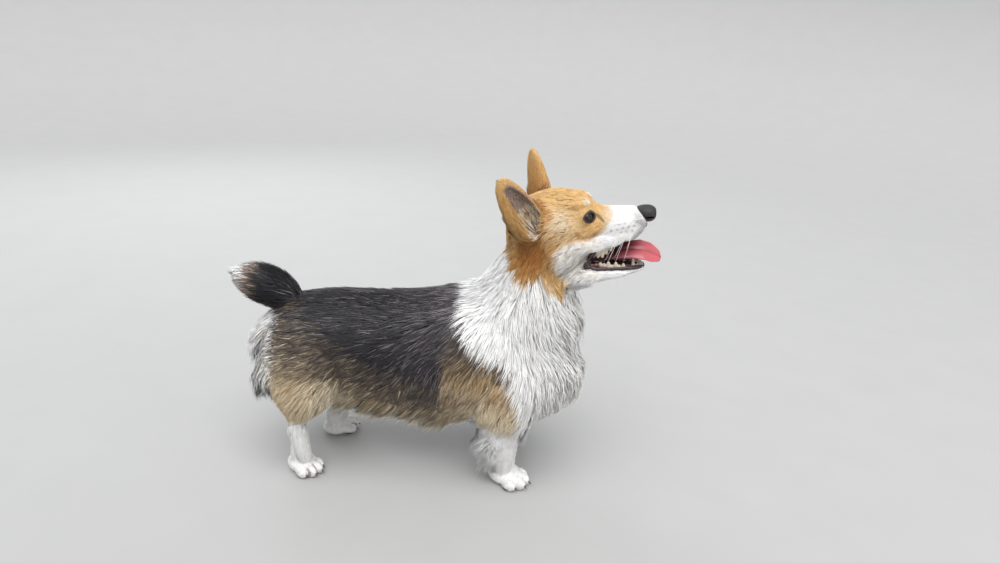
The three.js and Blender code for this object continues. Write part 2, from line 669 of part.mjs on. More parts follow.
const head = new THREE.Group();
head.name = 'head_pose';
head.position.copy(HEAD_AT);
head.rotation.copy(HEAD_TURN);
const bothSides = (body) => [body, mirrored(body)];
const tongueGrown = tongueLoft(GAP);
const palate = loft(PALATE_ROWS, { ...HEAD_AXES, steps: 6, around: 10 });
const upperLips = bothSides(lip(UPPER_LIP, LIP.upper));
const skullSolid = join([skullLoft(0).subtract(palate), ...upperLips, ...bothSides(ball(EYE_RADIUS + LID))]);
head.add(node('head', skullSolid, TAN_COAT, [
  tongueGrown, noseLoft(GAP), ...bothSides(lidOpening()), ...bothSides(ball(EYE_RADIUS + GAP)),
]));
const mouthFloor = loft(FLOOR_OF_MOUTH_ROWS, { ...HEAD_AXES, steps: 6, around: 10 });
const jawSolid = join([jawLoft(0), ...bothSides(lip(LOWER_LIP, LIP.lower))]).subtract(mouthFloor);
const teeth = TEETH.map(tooth).flatMap(bothSides);
head.add(node('jaw', join([jawSolid, ...teeth]), WHITE_COAT, [skullGrown, tongueGrown]));
head.add(node('tongue', tongueLoft(0), TONGUE_PINK));
head.add(node('nose', noseLoft(0), NOSE_LEATHER, bothSides(nostril())));
head.add(node('eye_right', mirrored(ball(EYE_RADIUS)), EYE_BROWN));
head.add(node('eye_left', ball(EYE_RADIUS), EYE_BROWN));
head.add(node('ear_right', earSolid(EARS.right), TAN_COAT));
head.add(node('ear_left', earSolid(EARS.left), TAN_COAT));
dog.add(head);

dog.position.set(-CENTRE_X, -CENTRE_Y, 0);
const model = new THREE.Group();
model.add(dog);
export default model;
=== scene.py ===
import math

import bpy
import numpy as np
from mathutils import Euler, Matrix, Vector
from mathutils.bvhtree import BVHTree
from mathutils.kdtree import KDTree


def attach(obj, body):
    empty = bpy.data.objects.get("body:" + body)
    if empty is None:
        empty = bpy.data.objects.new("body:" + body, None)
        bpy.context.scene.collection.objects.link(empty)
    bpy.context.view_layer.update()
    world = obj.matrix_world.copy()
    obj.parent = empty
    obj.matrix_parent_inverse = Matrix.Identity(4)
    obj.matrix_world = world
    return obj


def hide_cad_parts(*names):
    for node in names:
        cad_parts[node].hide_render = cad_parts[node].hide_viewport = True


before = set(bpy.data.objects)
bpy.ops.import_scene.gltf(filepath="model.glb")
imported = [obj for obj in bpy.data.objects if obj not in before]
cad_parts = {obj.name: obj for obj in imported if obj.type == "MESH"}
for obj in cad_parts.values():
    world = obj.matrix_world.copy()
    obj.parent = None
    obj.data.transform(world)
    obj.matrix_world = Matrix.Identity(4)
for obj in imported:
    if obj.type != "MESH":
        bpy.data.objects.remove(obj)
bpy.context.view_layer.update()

# The camera stands a metre off the dog's right side, above its head, and looks down on it.
# It is tipped a little, as a hand-held one is.
CAMERA_AT = (0.0671, -0.9954, 0.68)
CAMERA_YAW = math.radians(1.5)
CAMERA_PITCH = math.radians(20)
CAMERA_ROLL = math.radians(4.5)
CAMERA_LENS = 25.2
SENSOR = 36

level = Vector((math.cos(CAMERA_YAW), -math.sin(CAMERA_YAW), 0))
ahead = Vector((math.sin(CAMERA_YAW) * math.cos(CAMERA_PITCH),
                math.cos(CAMERA_YAW) * math.cos(CAMERA_PITCH), -math.sin(CAMERA_PITCH)))
above = level.cross(ahead)
camera_right = level * math.cos(CAMERA_ROLL) + above * math.sin(CAMERA_ROLL)
camera_up = above * math.cos(CAMERA_ROLL) - level * math.sin(CAMERA_ROLL)

bpy.ops.object.select_all(action="DESELECT")
bpy.ops.object.camera_add(location=CAMERA_AT)
camera = bpy.context.object
camera.name = "photo_camera"
camera.rotation_euler = Matrix((camera_right, camera_up, -ahead)).transposed().to_euler()
camera.data.lens = CAMERA_LENS
camera.data.sensor_width = SENSOR
camera.data.clip_start = 0.01
bpy.context.scene.camera = camera

# The studio floor is a wide pale dish, matt, with a faint mottle like painted board. Its rim sweeps up
# all round, so that no edge shows behind the dog from any side.
FLOOR_RADIUS = 3.2
RIM_SWEEP = [(0.8, 0.06), (0.7, 0.18), (0.6, 0.32), (0.45, 0.5), (0.3, 0.8)]   # outward and upward steps
FLOOR_COLOUR = (0.4, 0.4, 0.393)
FLOOR_MOTTLE = (0.375, 0.375, 0.37)

bpy.ops.mesh.primitive_circle_add(vertices=64, radius=FLOOR_RADIUS, fill_type="TRIFAN")
floor = bpy.context.object
floor.name = "studio_floor"
bpy.ops.object.mode_set(mode="EDIT")
bpy.ops.mesh.select_all(action="DESELECT")
bpy.ops.mesh.select_mode(type="EDGE")
bpy.ops.mesh.select_non_manifold()
reach = FLOOR_RADIUS
for outward, upward in RIM_SWEEP:
    bpy.ops.mesh.extrude_region_move(TRANSFORM_OT_translate={"value": (0, 0, upward)})
    grown = (reach + outward) / reach
    bpy.ops.transform.resize(value=(grown, grown, 1))
    reach += outward
bpy.ops.mesh.select_all(action="SELECT")
bpy.ops.mesh.normals_make_consistent(inside=True)
bpy.ops.object.mode_set(mode="OBJECT")
bpy.ops.object.shade_smooth()


def finish(name, **sockets):
    """A new material with sockets of its shader set, and its nodes and links."""
    made = bpy.data.materials.new(name)
    made.use_nodes = True
    nodes, links = made.node_tree.nodes, made.node_tree.links
    for socket, value in sockets.items():
        nodes["Principled BSDF"].inputs[socket.replace("_", " ")].default_value = value
    return made, nodes, links


def mottled(name, scale, detail, low, high, **sockets):
    """A material whose two colours run into one another in soft spots. `low` and `high` are each the
    noise's height and the colour there."""
    made, nodes, links = finish(name, **sockets)
    places = nodes.new("ShaderNodeTexCoord")
    mottle = nodes.new("ShaderNodeTexNoise")
    mottle.inputs["Scale"].default_value = scale
    mottle.inputs["Detail"].default_value = detail
    shades = nodes.new("ShaderNodeValToRGB")
    for stop, (height, colour) in zip(shades.color_ramp.elements, (low, high)):
        stop.position = height
        stop.color = (*colour, 1)
    links.new(places.outputs["Object"], mottle.inputs["Vector"])
    links.new(mottle.outputs["Fac"], shades.inputs["Fac"])
    links.new(shades.outputs["Color"], nodes["Principled BSDF"].inputs["Base Color"])
    return made


floor_paint = mottled("floor_paint", 9, 4, (0, FLOOR_COLOUR), (1, FLOOR_MOTTLE), Roughness=0.9)
floor.data.materials.append(floor_paint)

# Soft daylight: an overcast sun high in front of the dog on the camera's side, a lamp low in front,
# and one behind that draws the edge of the coat.
SUN_FROM = Vector((-0.1, -0.75, 1.7))
SUN_SPREAD = math.radians(55)
SUN_POWER = 2.9
LAMPS = {                               # place, size, power, colour
    "front_lamp": ((2.0, -1.3, 0.8), 1.4, 11, (1.0, 0.97, 0.93)),
    "back_lamp": ((-1.1, 1.8, 1.5), 1.4, 14, (0.94, 0.97, 1.0)),
}
LAMPS_AIM = Vector((0.02, 0, 0.24))
SKY_COLOUR = (0.92, 0.935, 0.96, 1)
SKY_STRENGTH = 0.8

bpy.ops.object.light_add(type="SUN", location=SUN_FROM)
sun = bpy.context.object
sun.name = "sun"
sun.rotation_euler = SUN_FROM.to_track_quat("Z", "Y").to_euler()
sun.data.energy = SUN_POWER
sun.data.angle = SUN_SPREAD
for name, (place, size, power, colour) in LAMPS.items():
    bpy.ops.object.light_add(type="AREA", location=place)
    lamp = bpy.context.object
    lamp.name = name
    lamp.rotation_euler = (LAMPS_AIM - Vector(place)).to_track_quat("-Z", "Y").to_euler()
    lamp.data.size = size
    lamp.data.energy = power
    lamp.data.color = colour
sky = bpy.data.worlds.new("soft_sky")
sky.use_nodes = True
sky.node_tree.nodes["Background"].inputs["Color"].default_value = SKY_COLOUR
sky.node_tree.nodes["Background"].inputs["Strength"].default_value = SKY_STRENGTH
bpy.context.scene.world = sky
bpy.context.scene.view_settings.view_transform = "Standard"

# The skin: one closed hide over the whole dog, pink-grey under the white coat and dark under the
# black. Its parts are drawn out ring by ring, melted into one another and left short of the coat's depth.
ZERO = Vector((-0.0268, 0.0024, 0))     # the drawing's zero, in the frame of the solids
HEAD_AT = Vector((0.165, 0, 0.42))
HEAD_TURN = Euler((math.radians(3), math.radians(-8), math.radians(-12)))
RIGHT, LEFT = -1, 1
RING_SIDES = 20
GRAIN = 0.0016                          # the size of the mesh that the parts are melted into

at_zero = Matrix.Translation(ZERO)
on_head = at_zero @ Matrix.Translation(HEAD_AT) @ HEAD_TURN.to_matrix().to_4x4()


def axes(along, across, side, at=(0, 0, 0)):
    """A frame whose X, Z and Y run along, across and to the side of a limb."""
    turn = Matrix((along, side, across)).transposed().to_4x4()
    return Matrix.Translation(at) @ turn


def applied(body, kind, **settings):
    """A modifier with these settings, put on a body and applied."""
    bpy.context.view_layer.objects.active = body
    step = body.modifiers.new(kind.lower(), kind)
    for setting, value in settings.items():
        setattr(step, setting, value)
    bpy.ops.object.modifier_apply(modifier=step.name)


def moved(mesh, place):
    """Moves a mesh within its object; where the place is mirrored, its faces are turned out again."""
    mesh.transform(place)
    if place.determinant() < 0:
        mesh.flip_normals()


def put_in_order(mesh):
    """Lists a mesh's faces in order. Blender's drawing tools list them anew in each run, and what is made
    of them would then differ in its last digits."""
    points = [tuple(vertex.co) for vertex in mesh.vertices]
    faces = []
    for face in mesh.polygons:
        corners = list(face.vertices)
        first = corners.index(min(corners))
        faces.append(corners[first:] + corners[:first])
    mesh.clear_geometry()
    mesh.from_pydata(points, [], sorted(faces))


def drawn_out(rows, place, coat=0.0, sides=RING_SIDES):
    """A limb drawn out ring by ring. A row is (place along, upper edge, lower edge, half width,
    middle), and each ring lies `coat` inside it."""
    low, high = rows[0][0], rows[-1][0]
    middle, shrink = (low + high) / 2, 1 - 2 * coat / (high - low)
    rings = []
    for along, upper, lower, half, *rest in rows:
        tall = max((upper - lower) / 2 - coat, (upper - lower) * 0.12)
        rings.append((middle + (along - middle) * shrink, rest[0] if rest else 0.0, (upper + lower) / 2,
                      max(half - coat, half * 0.25), tall))
    bpy.ops.object.select_all(action="DESELECT")
    bpy.ops.mesh.primitive_circle_add(vertices=sides, radius=1, fill_type="NGON",
                                      rotation=(0, math.pi / 2, 0))
    bpy.ops.object.transform_apply(rotation=True)
    bpy.ops.object.mode_set(mode="EDIT")
    x, y, z, wide, tall = rings[0]
    bpy.ops.transform.resize(value=(1, wide, tall), center_override=(0, 0, 0))
    bpy.ops.transform.translate(value=(x, y, z))
    for last, (x, y, z, wide, tall) in zip(rings, rings[1:]):
        bpy.ops.mesh.extrude_region_move(
            TRANSFORM_OT_translate={"value": (x - last[0], y - last[1], z - last[2])})
        bpy.ops.transform.resize(value=(1, wide / last[3], tall / last[4]), center_override=(x, y, z))
    bpy.ops.mesh.select_all(action="SELECT")
    bpy.ops.mesh.normals_make_consistent(inside=False)
    bpy.ops.object.mode_set(mode="OBJECT")
    drawn = bpy.context.object
    put_in_order(drawn.data)
    applied(drawn, "SUBSURF", levels=2, render_levels=2)
    moved(drawn.data, place)
    return drawn


def muscle(centre, radii, place, turn=(0, 0, 0)):
    """A rounded mass, such as a cheek, a toe or the pad of a lip."""
    bpy.ops.object.select_all(action="DESELECT")
    bpy.ops.mesh.primitive_uv_sphere_add(segments=32, ring_count=20, radius=1)
    mass = bpy.context.object
    put_in_order(mass.data)
    moved(mass.data, place @ Matrix.LocRotScale(Vector(centre), Euler(turn), Vector(radii)))
    return mass


def gathered(pieces, name):
    """Several meshes as one object."""
    bpy.ops.object.select_all(action="DESELECT")
    for piece in pieces:
        piece.select_set(True)
    bpy.context.view_layer.objects.active = pieces[0]
    bpy.ops.object.join()
    bpy.context.object.name = name
    return bpy.context.object


def copies(source, places, name):
    """One object of copies of a mesh, one at each place, in the stead of the mesh."""
    twins = []
    for place in places:
        twin = bpy.data.objects.new(name, source.data.copy())
        moved(twin.data, place)
        bpy.context.collection.objects.link(twin)
        twins.append(twin)
    bpy.data.objects.remove(source)
    return gathered(twins, name)


def melted(body, grain):
    """The body with all that crosses in it joined to one even closed surface."""
    applied(body, "REMESH", mode="VOXEL", voxel_size=grain)


def carved(body, hollows, grain):
    """The body with the hollows cut out of it, melted even."""
    applied(body, "BOOLEAN", object=hollows, solver="MANIFOLD")
    bpy.data.objects.remove(hollows)
    melted(body, grain)


def spots(mesh):
    """Where a mesh's points lie, as rows of three numbers."""
    found = np.empty(len(mesh.vertices) * 3, np.float32)
    mesh.vertices.foreach_get("co", found)
    return found.reshape(-1, 3).astype(float)


def ramp(low, high, value):
    """0 below low, 1 above high, and an even rise between."""
    share = np.clip((value - low) / (high - low), 0, 1)
    return share * share * (3 - 2 * share)


BODY = axes((1, 0, 0), (0, 0, 1), (0, 1, 0))
TORSO_ROWS = [
    (-0.243, 0.228, 0.196, 0.012), (-0.238, 0.245, 0.172, 0.04), (-0.215, 0.27, 0.14, 0.07),
    (-0.18, 0.284, 0.118, 0.082), (-0.13, 0.29, 0.106, 0.086), (-0.06, 0.291, 0.098, 0.091),
    (0.01, 0.296, 0.09, 0.096), (0.07, 0.314, 0.086, 0.099), (0.12, 0.318, 0.086, 0.097),
    (0.175, 0.294, 0.09, 0.086), (0.218, 0.258, 0.104, 0.068), (0.242, 0.222, 0.132, 0.042),
    (0.249, 0.2, 0.156, 0.014)]
NECK_LEAN = math.radians(20)
NECK = axes((math.sin(NECK_LEAN), 0, math.cos(NECK_LEAN)), (math.cos(NECK_LEAN), 0, -math.sin(NECK_LEAN)),
            (0, 1, 0), at=(0.118, 0, 0.232))
NECK_ROWS = [
    (-0.04, 0.072, -0.04, 0.05), (-0.01, 0.108, -0.068, 0.076), (0.04, 0.108, -0.064, 0.076),
    (0.09, 0.094, -0.054, 0.068, -0.001), (0.14, 0.07, -0.046, 0.06, -0.003),
    (0.185, 0.048, -0.038, 0.052, -0.004), (0.215, 0.03, -0.026, 0.038, -0.005)]
TAIL_RISE = math.radians(15)
TAIL = axes((-math.cos(TAIL_RISE), 0, math.sin(TAIL_RISE)), (math.sin(TAIL_RISE), 0, math.cos(TAIL_RISE)),
            (0, 1, 0), at=(-0.19, 0, 0.262))
TAIL_ROWS = [
    (-0.014, 0.01, -0.024, 0.014), (0.012, 0.027, -0.022, 0.023), (0.042, 0.036, -0.014, 0.024),
    (0.066, 0.035, -0.008, 0.021), (0.086, 0.028, 0.001, 0.014), (0.094, 0.02, 0.008, 0.005)]
BODY_COAT = 0.011                       # how far the skin of each part lies under its coat
NECK_COAT = 0.011
TAIL_COAT = 0.004

hide_parts = [
    drawn_out(TORSO_ROWS, at_zero @ BODY, BODY_COAT),
    drawn_out(NECK_ROWS, at_zero @ NECK, NECK_COAT),
    drawn_out(TAIL_ROWS, at_zero @ TAIL, TAIL_COAT)]

# Legs: (height, front, back, half width, middle of the left leg). The far hind leg stands ahead of the
# near one and the far foreleg behind it.
UPRIGHT = axes((0, 0, 1), (1, 0, 0), (0, 1, 0))
THIGH_ROWS = [
    (0.082, -0.164, -0.184, 0.01, 0.07), (0.09, -0.156, -0.189, 0.018, 0.072),
    (0.105, -0.14, -0.196, 0.025, 0.073), (0.13, -0.112, -0.211, 0.034, 0.071),
    (0.165, -0.098, -0.224, 0.039, 0.065), (0.205, -0.098, -0.228, 0.04, 0.057),
    (0.245, -0.114, -0.222, 0.034, 0.049), (0.27, -0.14, -0.2, 0.018, 0.042)]
HOCK_ROWS = [
    (0.014, -0.15, -0.176, 0.013, 0.062), (0.035, -0.152, -0.181, 0.0155, 0.066),
    (0.065, -0.154, -0.186, 0.017, 0.07), (0.088, -0.158, -0.188, 0.016, 0.072),
    (0.1, -0.162, -0.184, 0.01, 0.073)]
UPPER_ARM_ROWS = [
    (0.088, 0.158, 0.112, 0.014, 0.07), (0.096, 0.17, 0.104, 0.024, 0.071),
    (0.115, 0.182, 0.096, 0.032, 0.071), (0.15, 0.193, 0.088, 0.036, 0.069),
    (0.19, 0.194, 0.09, 0.033, 0.066), (0.222, 0.18, 0.102, 0.022, 0.06), (0.24, 0.16, 0.12, 0.008, 0.056)]
FOREARM_ROWS = [
    (0.014, 0.16, 0.132, 0.015, 0.058), (0.035, 0.164, 0.126, 0.0185, 0.062),
    (0.065, 0.166, 0.12, 0.021, 0.067), (0.095, 0.169, 0.113, 0.025, 0.07),
    (0.115, 0.162, 0.118, 0.018, 0.071)]
LEG_PARTS = [(THIGH_ROWS, 0.009, "hind"), (HOCK_ROWS, 0.003, "hind"),
             (UPPER_ARM_ROWS, 0.008, "fore"), (FOREARM_ROWS, 0.003, "fore")]
LEFT_AHEAD = {"fore": -0.018, "hind": 0.031}
for rows, coat, pair in LEG_PARTS:
    for side in (RIGHT, LEFT):
        shift = Matrix.Translation((LEFT_AHEAD[pair] if side == LEFT else 0, 0, 0))
        mirror = Matrix.Diagonal((1, side, 1, 1))
        hide_parts.append(drawn_out(rows, at_zero @ shift @ mirror @ UPRIGHT, coat, sides=16))

# Paws: a heel and four toes each, turned out, flat where they stand. (centre, radii) in a frame with
# X out to the toes.
PAW_COAT = 0.0018
HEEL = ((-0.006, 0, 0.013), (0.027, 0.023, 0.017))
PASTERN = ((-0.009, 0, 0.032), (0.0175, 0.0175, 0.027))
TOES = [
    ((0.013, -0.018, 0.009), (0.013, 0.0075, 0.0105)), ((0.021, -0.0065, 0.01), (0.014, 0.008, 0.012)),
    ((0.021, 0.0075, 0.01), (0.014, 0.008, 0.012)), ((0.012, 0.019, 0.009), (0.013, 0.0075, 0.0105))]
PAWS = {"fore": (0.155, 0.057, math.radians(30), 1.04), "hind": (-0.166, 0.059, math.radians(32), 0.93)}
paw_frames = {}
for kind, (x, y, turn, scale) in PAWS.items():
    for side in (RIGHT, LEFT):
        x_here = x + (LEFT_AHEAD[kind] if side == LEFT else 0)
        paw = at_zero @ Matrix.LocRotScale(Vector((x_here, y * side, 0)), Euler((0, 0, turn * side)),
                                           Vector((scale, scale * side, scale)))
        paw_frames[kind, side] = paw
        for centre, radii in [HEEL, PASTERN, *TOES]:
            hide_parts.append(muscle(centre, [r - PAW_COAT for r in radii], paw))

# Head, in its own frame: X along the skull to the nose. Cheeks, brows and the pads of the upper lip
# swell out of the skull; the jaw hangs open under it.
SKULL_ROWS = [
    (-0.041, 0.002, -0.03, 0.01), (-0.031, 0.013, -0.048, 0.031), (-0.008, 0.033, -0.071, 0.048),
    (0.02, 0.042, -0.079, 0.054), (0.044, 0.0415, -0.079, 0.05), (0.062, 0.038, -0.07, 0.044),
    (0.075, 0.0305, -0.056, 0.037), (0.086, 0.02, -0.0415, 0.031), (0.1, 0.0155, -0.036, 0.027),
    (0.125, 0.0155, -0.034, 0.0232), (0.145, 0.0155, -0.027, 0.0192), (0.156, 0.0135, -0.018, 0.015),
    (0.161, 0.007, -0.009, 0.0075)]
JAW_ROWS = [
    (0.024, -0.074, -0.094, 0.018), (0.036, -0.066, -0.101, 0.037), (0.06, -0.061, -0.102, 0.036),
    (0.082, -0.065, -0.0985, 0.0315), (0.105, -0.068, -0.092, 0.0262), (0.13, -0.069, -0.0865, 0.0202),
    (0.148, -0.069, -0.0815, 0.015), (0.157, -0.071, -0.0765, 0.0075)]
HEAD_MASSES = [                         # right and left alike: centre, radii, turn about Z
    ((0.06, 0.02, 0.0245), (0.022, 0.014, 0.01), -0.35), ((0.03, 0.034, -0.04), (0.034, 0.019, 0.03), 0.0),
    ((0.062, 0.03, -0.03), (0.026, 0.0135, 0.018), -0.25),
    ((0.116, 0.0125, -0.0205), (0.03, 0.0115, 0.013), -0.12),
    ((0.141, 0.0095, -0.014), (0.016, 0.01, 0.0115), -0.3),
    ((0.102, 0.0255, -0.03), (0.026, 0.0042, 0.009), -0.2),
    ((0.086, 0.029, -0.035), (0.016, 0.0042, 0.009), -0.15),
    ((0.13, 0.0185, -0.024), (0.02, 0.004, 0.007), -0.28),
    ((0.104, 0.0255, -0.079), (0.032, 0.004, 0.007), -0.19),
    ((0.078, 0.033, -0.08), (0.018, 0.0045, 0.011), -0.12)]
PALATE_ROWS = [
    (0.082, -0.048, -0.07, 0.012), (0.093, -0.031, -0.07, 0.02), (0.12, -0.023, -0.064, 0.0165),
    (0.142, -0.017, -0.054, 0.01), (0.15, -0.018, -0.044, 0.004)]
MOUTH_FLOOR_ROWS = [
    (0.072, -0.059, -0.076, 0.018), (0.09, -0.05, -0.081, 0.0225), (0.12, -0.05, -0.079, 0.0165),
    (0.142, -0.05, -0.076, 0.01), (0.15, -0.052, -0.071, 0.004)]

hide_parts.append(drawn_out(SKULL_ROWS, on_head @ BODY, sides=24))
hide_parts.append(drawn_out(JAW_ROWS, on_head @ BODY))
for centre, radii, turn in HEAD_MASSES:
    for side in (RIGHT, LEFT):
        hide_parts.append(muscle((centre[0], centre[1] * side, centre[2]), radii, on_head,
                                 (0, 0, turn * side)))

# Each eye lies in a lid, a shell round the ball that stands out of the skull and opens in an almond.
EYE_AT = Vector((0.0745, 0.026, 0.007))
EYE_RADIUS = 0.011
LID = 0.0019
LID_OPENING = (0.009, 0.0094, 0.0072)
LID_FORWARD = 0.0018
EYE_OUT = math.radians(44)
EYE_UP = math.radians(-8)
EYE_TILT = math.radians(-10)
eye_frames = {}
cutters = {"lid": [], "cup": [], "mouth": []}
for side in (RIGHT, LEFT):
    look = (Matrix.Diagonal((1, side, 1, 1)) @ Matrix.Translation(EYE_AT) @ Matrix.Rotation(EYE_OUT, 4, "Z")
            @ Matrix.Rotation(EYE_UP, 4, "Y") @ Matrix.Rotation(EYE_TILT, 4, "X"))
    eye_frames[side] = on_head @ look
    hide_parts.append(muscle((0, 0, 0), [EYE_RADIUS + LID] * 3, eye_frames[side]))
    cutters["lid"].append(muscle((EYE_RADIUS, -LID_FORWARD, 0), LID_OPENING, eye_frames[side]))

# Ears: tall shells, each in a frame that stands on the side of the skull, hollowed from the front.
EAR_ROWS = [
    (-0.016, 0.006, -0.014, 0.014), (-0.006, 0.012, -0.018, 0.022), (0.015, 0.013, -0.018, 0.0275),
    (0.045, 0.009, -0.014, 0.025), (0.07, 0.005, -0.01, 0.0195), (0.086, 0.003, -0.007, 0.013),
    (0.0945, 0.001, -0.005, 0.0065)]
EAR_CUP_ROWS = [
    (-0.008, 0.03, -0.002, 0.007, 0.006), (0.004, 0.03, -0.01, 0.014, 0.007),
    (0.02, 0.03, -0.0125, 0.018, 0.007), (0.045, 0.03, -0.009, 0.0165, 0.006),
    (0.066, 0.03, -0.0055, 0.012, 0.0035), (0.08, 0.03, -0.002, 0.006, 0.002)]
EAR_COAT = 0.001
EARS = {
    RIGHT: (Vector((0.004, -0.053, -0.006)), Vector((-0.03, -0.02, 0.068)), Vector((0.35, -0.93, 0))),
    LEFT: (Vector((0.007, 0.048, 0.0)), Vector((-0.016, 0.022, 0.076)), Vector((0.7, 0.7, 0)))}
ear_frames = {}
for side, (at, up, opens) in EARS.items():
    along = up.normalized()
    width = along.cross(opens).normalized()
    ear_frames[side] = on_head @ axes(along, width.cross(along), width, at)
    hide_parts.append(drawn_out(EAR_ROWS, ear_frames[side], EAR_COAT, sides=16))
    cup_frame = ear_frames[side] @ Matrix.Diagonal((1, -side, 1, 1))
    cutters["cup"].append(drawn_out(EAR_CUP_ROWS, cup_frame, sides=16))
for rows in (PALATE_ROWS, MOUTH_FLOOR_ROWS):
    cutters["mouth"].append(drawn_out(rows, on_head @ BODY, sides=16))

# The parts are melted together, the lids, ear cups and mouth are cut, and the creases are eased: much
# between the limbs and the trunk, less on the head, hardly at all on rims and paws. The trunk's mesh is
# then thinned.
EASING = {"trunk": 26, "skull": 12, "rims": 3}
THINNED_TO = 0.3
SOLE_HEIGHT = 0.0014                    # the pads stand out below it
hide = gathered(hide_parts, "hide")
melted(hide, GRAIN)
hollow_trees = {}
for kind, pieces in cutters.items():
    cutters[kind] = gathered(pieces, kind)
    hollow_trees[kind] = BVHTree.FromObject(cutters[kind], bpy.context.evaluated_depsgraph_get())
hollows = gathered(list(cutters.values()), "hollows")
carved(hide, hollows, GRAIN)


def in_frame(points, placed):
    """Places as numbers in a frame of their own, such as the head's."""
    back = np.array(placed.inverted())
    return points @ back[:3, :3].T + back[:3, 3]


def off_hollow(points, kind, reach):
    """How far each place is from the wall of the lids, cups or mouth, up to `reach`."""
    tree = hollow_trees[kind]
    distance = np.full(len(points), reach)
    for i, point in enumerate(points):
        found = tree.find_nearest(point, reach)
        if found[0] is not None:
            distance[i] = found[3]
    return distance


def weigh(body, name, weights):
    """A vertex group that holds one weight for each point."""
    group = body.vertex_groups.new(name=name)
    tenths = np.round(weights * 10).astype(int)
    for tenth in range(11):
        group.add(np.flatnonzero(tenths == tenth).tolist(), tenth / 10, "REPLACE")


hide_spots = spots(hide.data)
of_head = in_frame(hide_spots, on_head)
behind_head = ramp(0.03, -0.02, of_head[:, 0] + 0.5 * of_head[:, 2])
on_trunk = behind_head * ramp(0.045, 0.075, hide_spots[:, 2])
near_face = np.flatnonzero((behind_head < 1) | (of_head[:, 2] > -0.02))
to_rim = np.full(len(hide_spots), 0.02)
for kind in hollow_trees:
    to_rim[near_face] = np.minimum(to_rim[near_face], off_hollow(hide_spots[near_face], kind, 0.02))
on_ear = np.zeros(len(hide_spots))
for side in (RIGHT, LEFT):
    of_ear = in_frame(hide_spots, ear_frames[side])
    on_ear = np.maximum(on_ear, ramp(-0.012, 0.004, of_ear[:, 0]) * (np.abs(of_ear[:, 1]) < 0.03)
                        * (np.abs(of_ear[:, 2]) < 0.03))
on_trunk *= 1 - on_ear
weigh(hide, "trunk", on_trunk)
weigh(hide, "skull", (1 - on_ear) * ramp(0.0015, 0.008, to_rim) * ramp(0.2, 0.3, hide_spots[:, 2]))
weigh(hide, "rims", np.ones(len(hide_spots)))
for name, times in EASING.items():
    applied(hide, "SMOOTH", vertex_group=name, iterations=times, factor=0.5)
applied(hide, "DECIMATE", vertex_group="trunk", ratio=THINNED_TO)
soles = spots(hide.data)
soles[:, 2] = np.maximum(soles[:, 2], SOLE_HEIGHT)
hide.data.vertices.foreach_set("co", soles.astype(np.float32).ravel())
bpy.ops.object.shade_smooth()
bpy.ops.object.mode_set(mode="EDIT")
bpy.ops.mesh.select_all(action="SELECT")
bpy.ops.mesh.quads_convert_to_tris()
bpy.ops.uv.smart_project(angle_limit=math.radians(66), island_margin=0.002)
bpy.ops.object.mode_set(mode="OBJECT")
hide.data.uv_layers[0].name = "OFBake"

# Eyes: moist balls that fill their lids, dark brown round a black pupil, a little proud over the iris.
# Each is a sphere with its pole at the pupil, so its own UV map runs in rings round it.
PUPIL = 0.917                           # places on the UV map, from the back pole to the pupil's middle
IRIS = 0.805
CORNEA_RISE = 0.0007
EYE_RINGS = [                           # where each colour lies, from the white to the pupil
    (IRIS - 0.02, (0.045, 0.028, 0.026, 1)), (IRIS - 0.006, (0.004, 0.002, 0.002, 1)),
    (IRIS + 0.014, (0.022, 0.008, 0.004, 1)), (IRIS + 0.05, (0.052, 0.019, 0.007, 1)),
    (PUPIL - 0.012, (0.028, 0.01, 0.004, 1)), (PUPIL + 0.006, (0.001, 0.001, 0.001, 1))]
IRIS_FIBRES = (70, 7, 1)

eye_finish, nodes, links = finish("eye_wet", Roughness=0.15, Specular_IOR_Level=0.15, Coat_Weight=1,
                                  Coat_IOR=1.34, Coat_Roughness=0.03)
unwrapped = nodes.new("ShaderNodeUVMap")
parted = nodes.new("ShaderNodeSeparateXYZ")
rings = nodes.new("ShaderNodeValToRGB")
stops = rings.color_ramp.elements
stops[0].position, stops[0].color = EYE_RINGS[0]
stops[1].position, stops[1].color = EYE_RINGS[-1]
for place, colour in EYE_RINGS[1:-1]:
    stops.new(place).color = colour
spread = nodes.new("ShaderNodeMapping")
spread.inputs["Scale"].default_value = IRIS_FIBRES
fibres = nodes.new("ShaderNodeTexNoise")
fibres.inputs["Scale"].default_value = 1
fibres.inputs["Detail"].default_value = 3
darker = nodes.new("ShaderNodeMix")
darker.data_type = "RGBA"
darker.blend_type = "MULTIPLY"
darker.inputs["Factor"].default_value = 0.8
links.new(unwrapped.outputs["UV"], parted.inputs["Vector"])
links.new(parted.outputs["Y"], rings.inputs["Fac"])
links.new(unwrapped.outputs["UV"], spread.inputs["Vector"])
links.new(spread.outputs["Vector"], fibres.inputs["Vector"])
links.new(rings.outputs["Color"], darker.inputs["A"])
links.new(fibres.outputs["Fac"], darker.inputs["B"])
links.new(darker.outputs["Result"], nodes["Principled BSDF"].inputs["Base Color"])
for side, node in ((RIGHT, "eye_right"), (LEFT, "eye_left")):
    bpy.ops.object.select_all(action="DESELECT")
    bpy.ops.mesh.primitive_uv_sphere_add(segments=40, ring_count=28, radius=EYE_RADIUS)
    eye = bpy.context.object
    eye.name = node.replace("eye", "eyeball")
    for vertex in eye.data.vertices:
        vertex.co.z += CORNEA_RISE * ramp(0.8, 0.97, vertex.co.z / EYE_RADIUS)
    moved(eye.data, eye_frames[side] @ Matrix.Rotation(math.pi / 2, 4, "Y"))
    bpy.ops.object.shade_smooth()
    eye.data.materials.append(eye_finish)
    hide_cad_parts(node)
    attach(eye, "root")

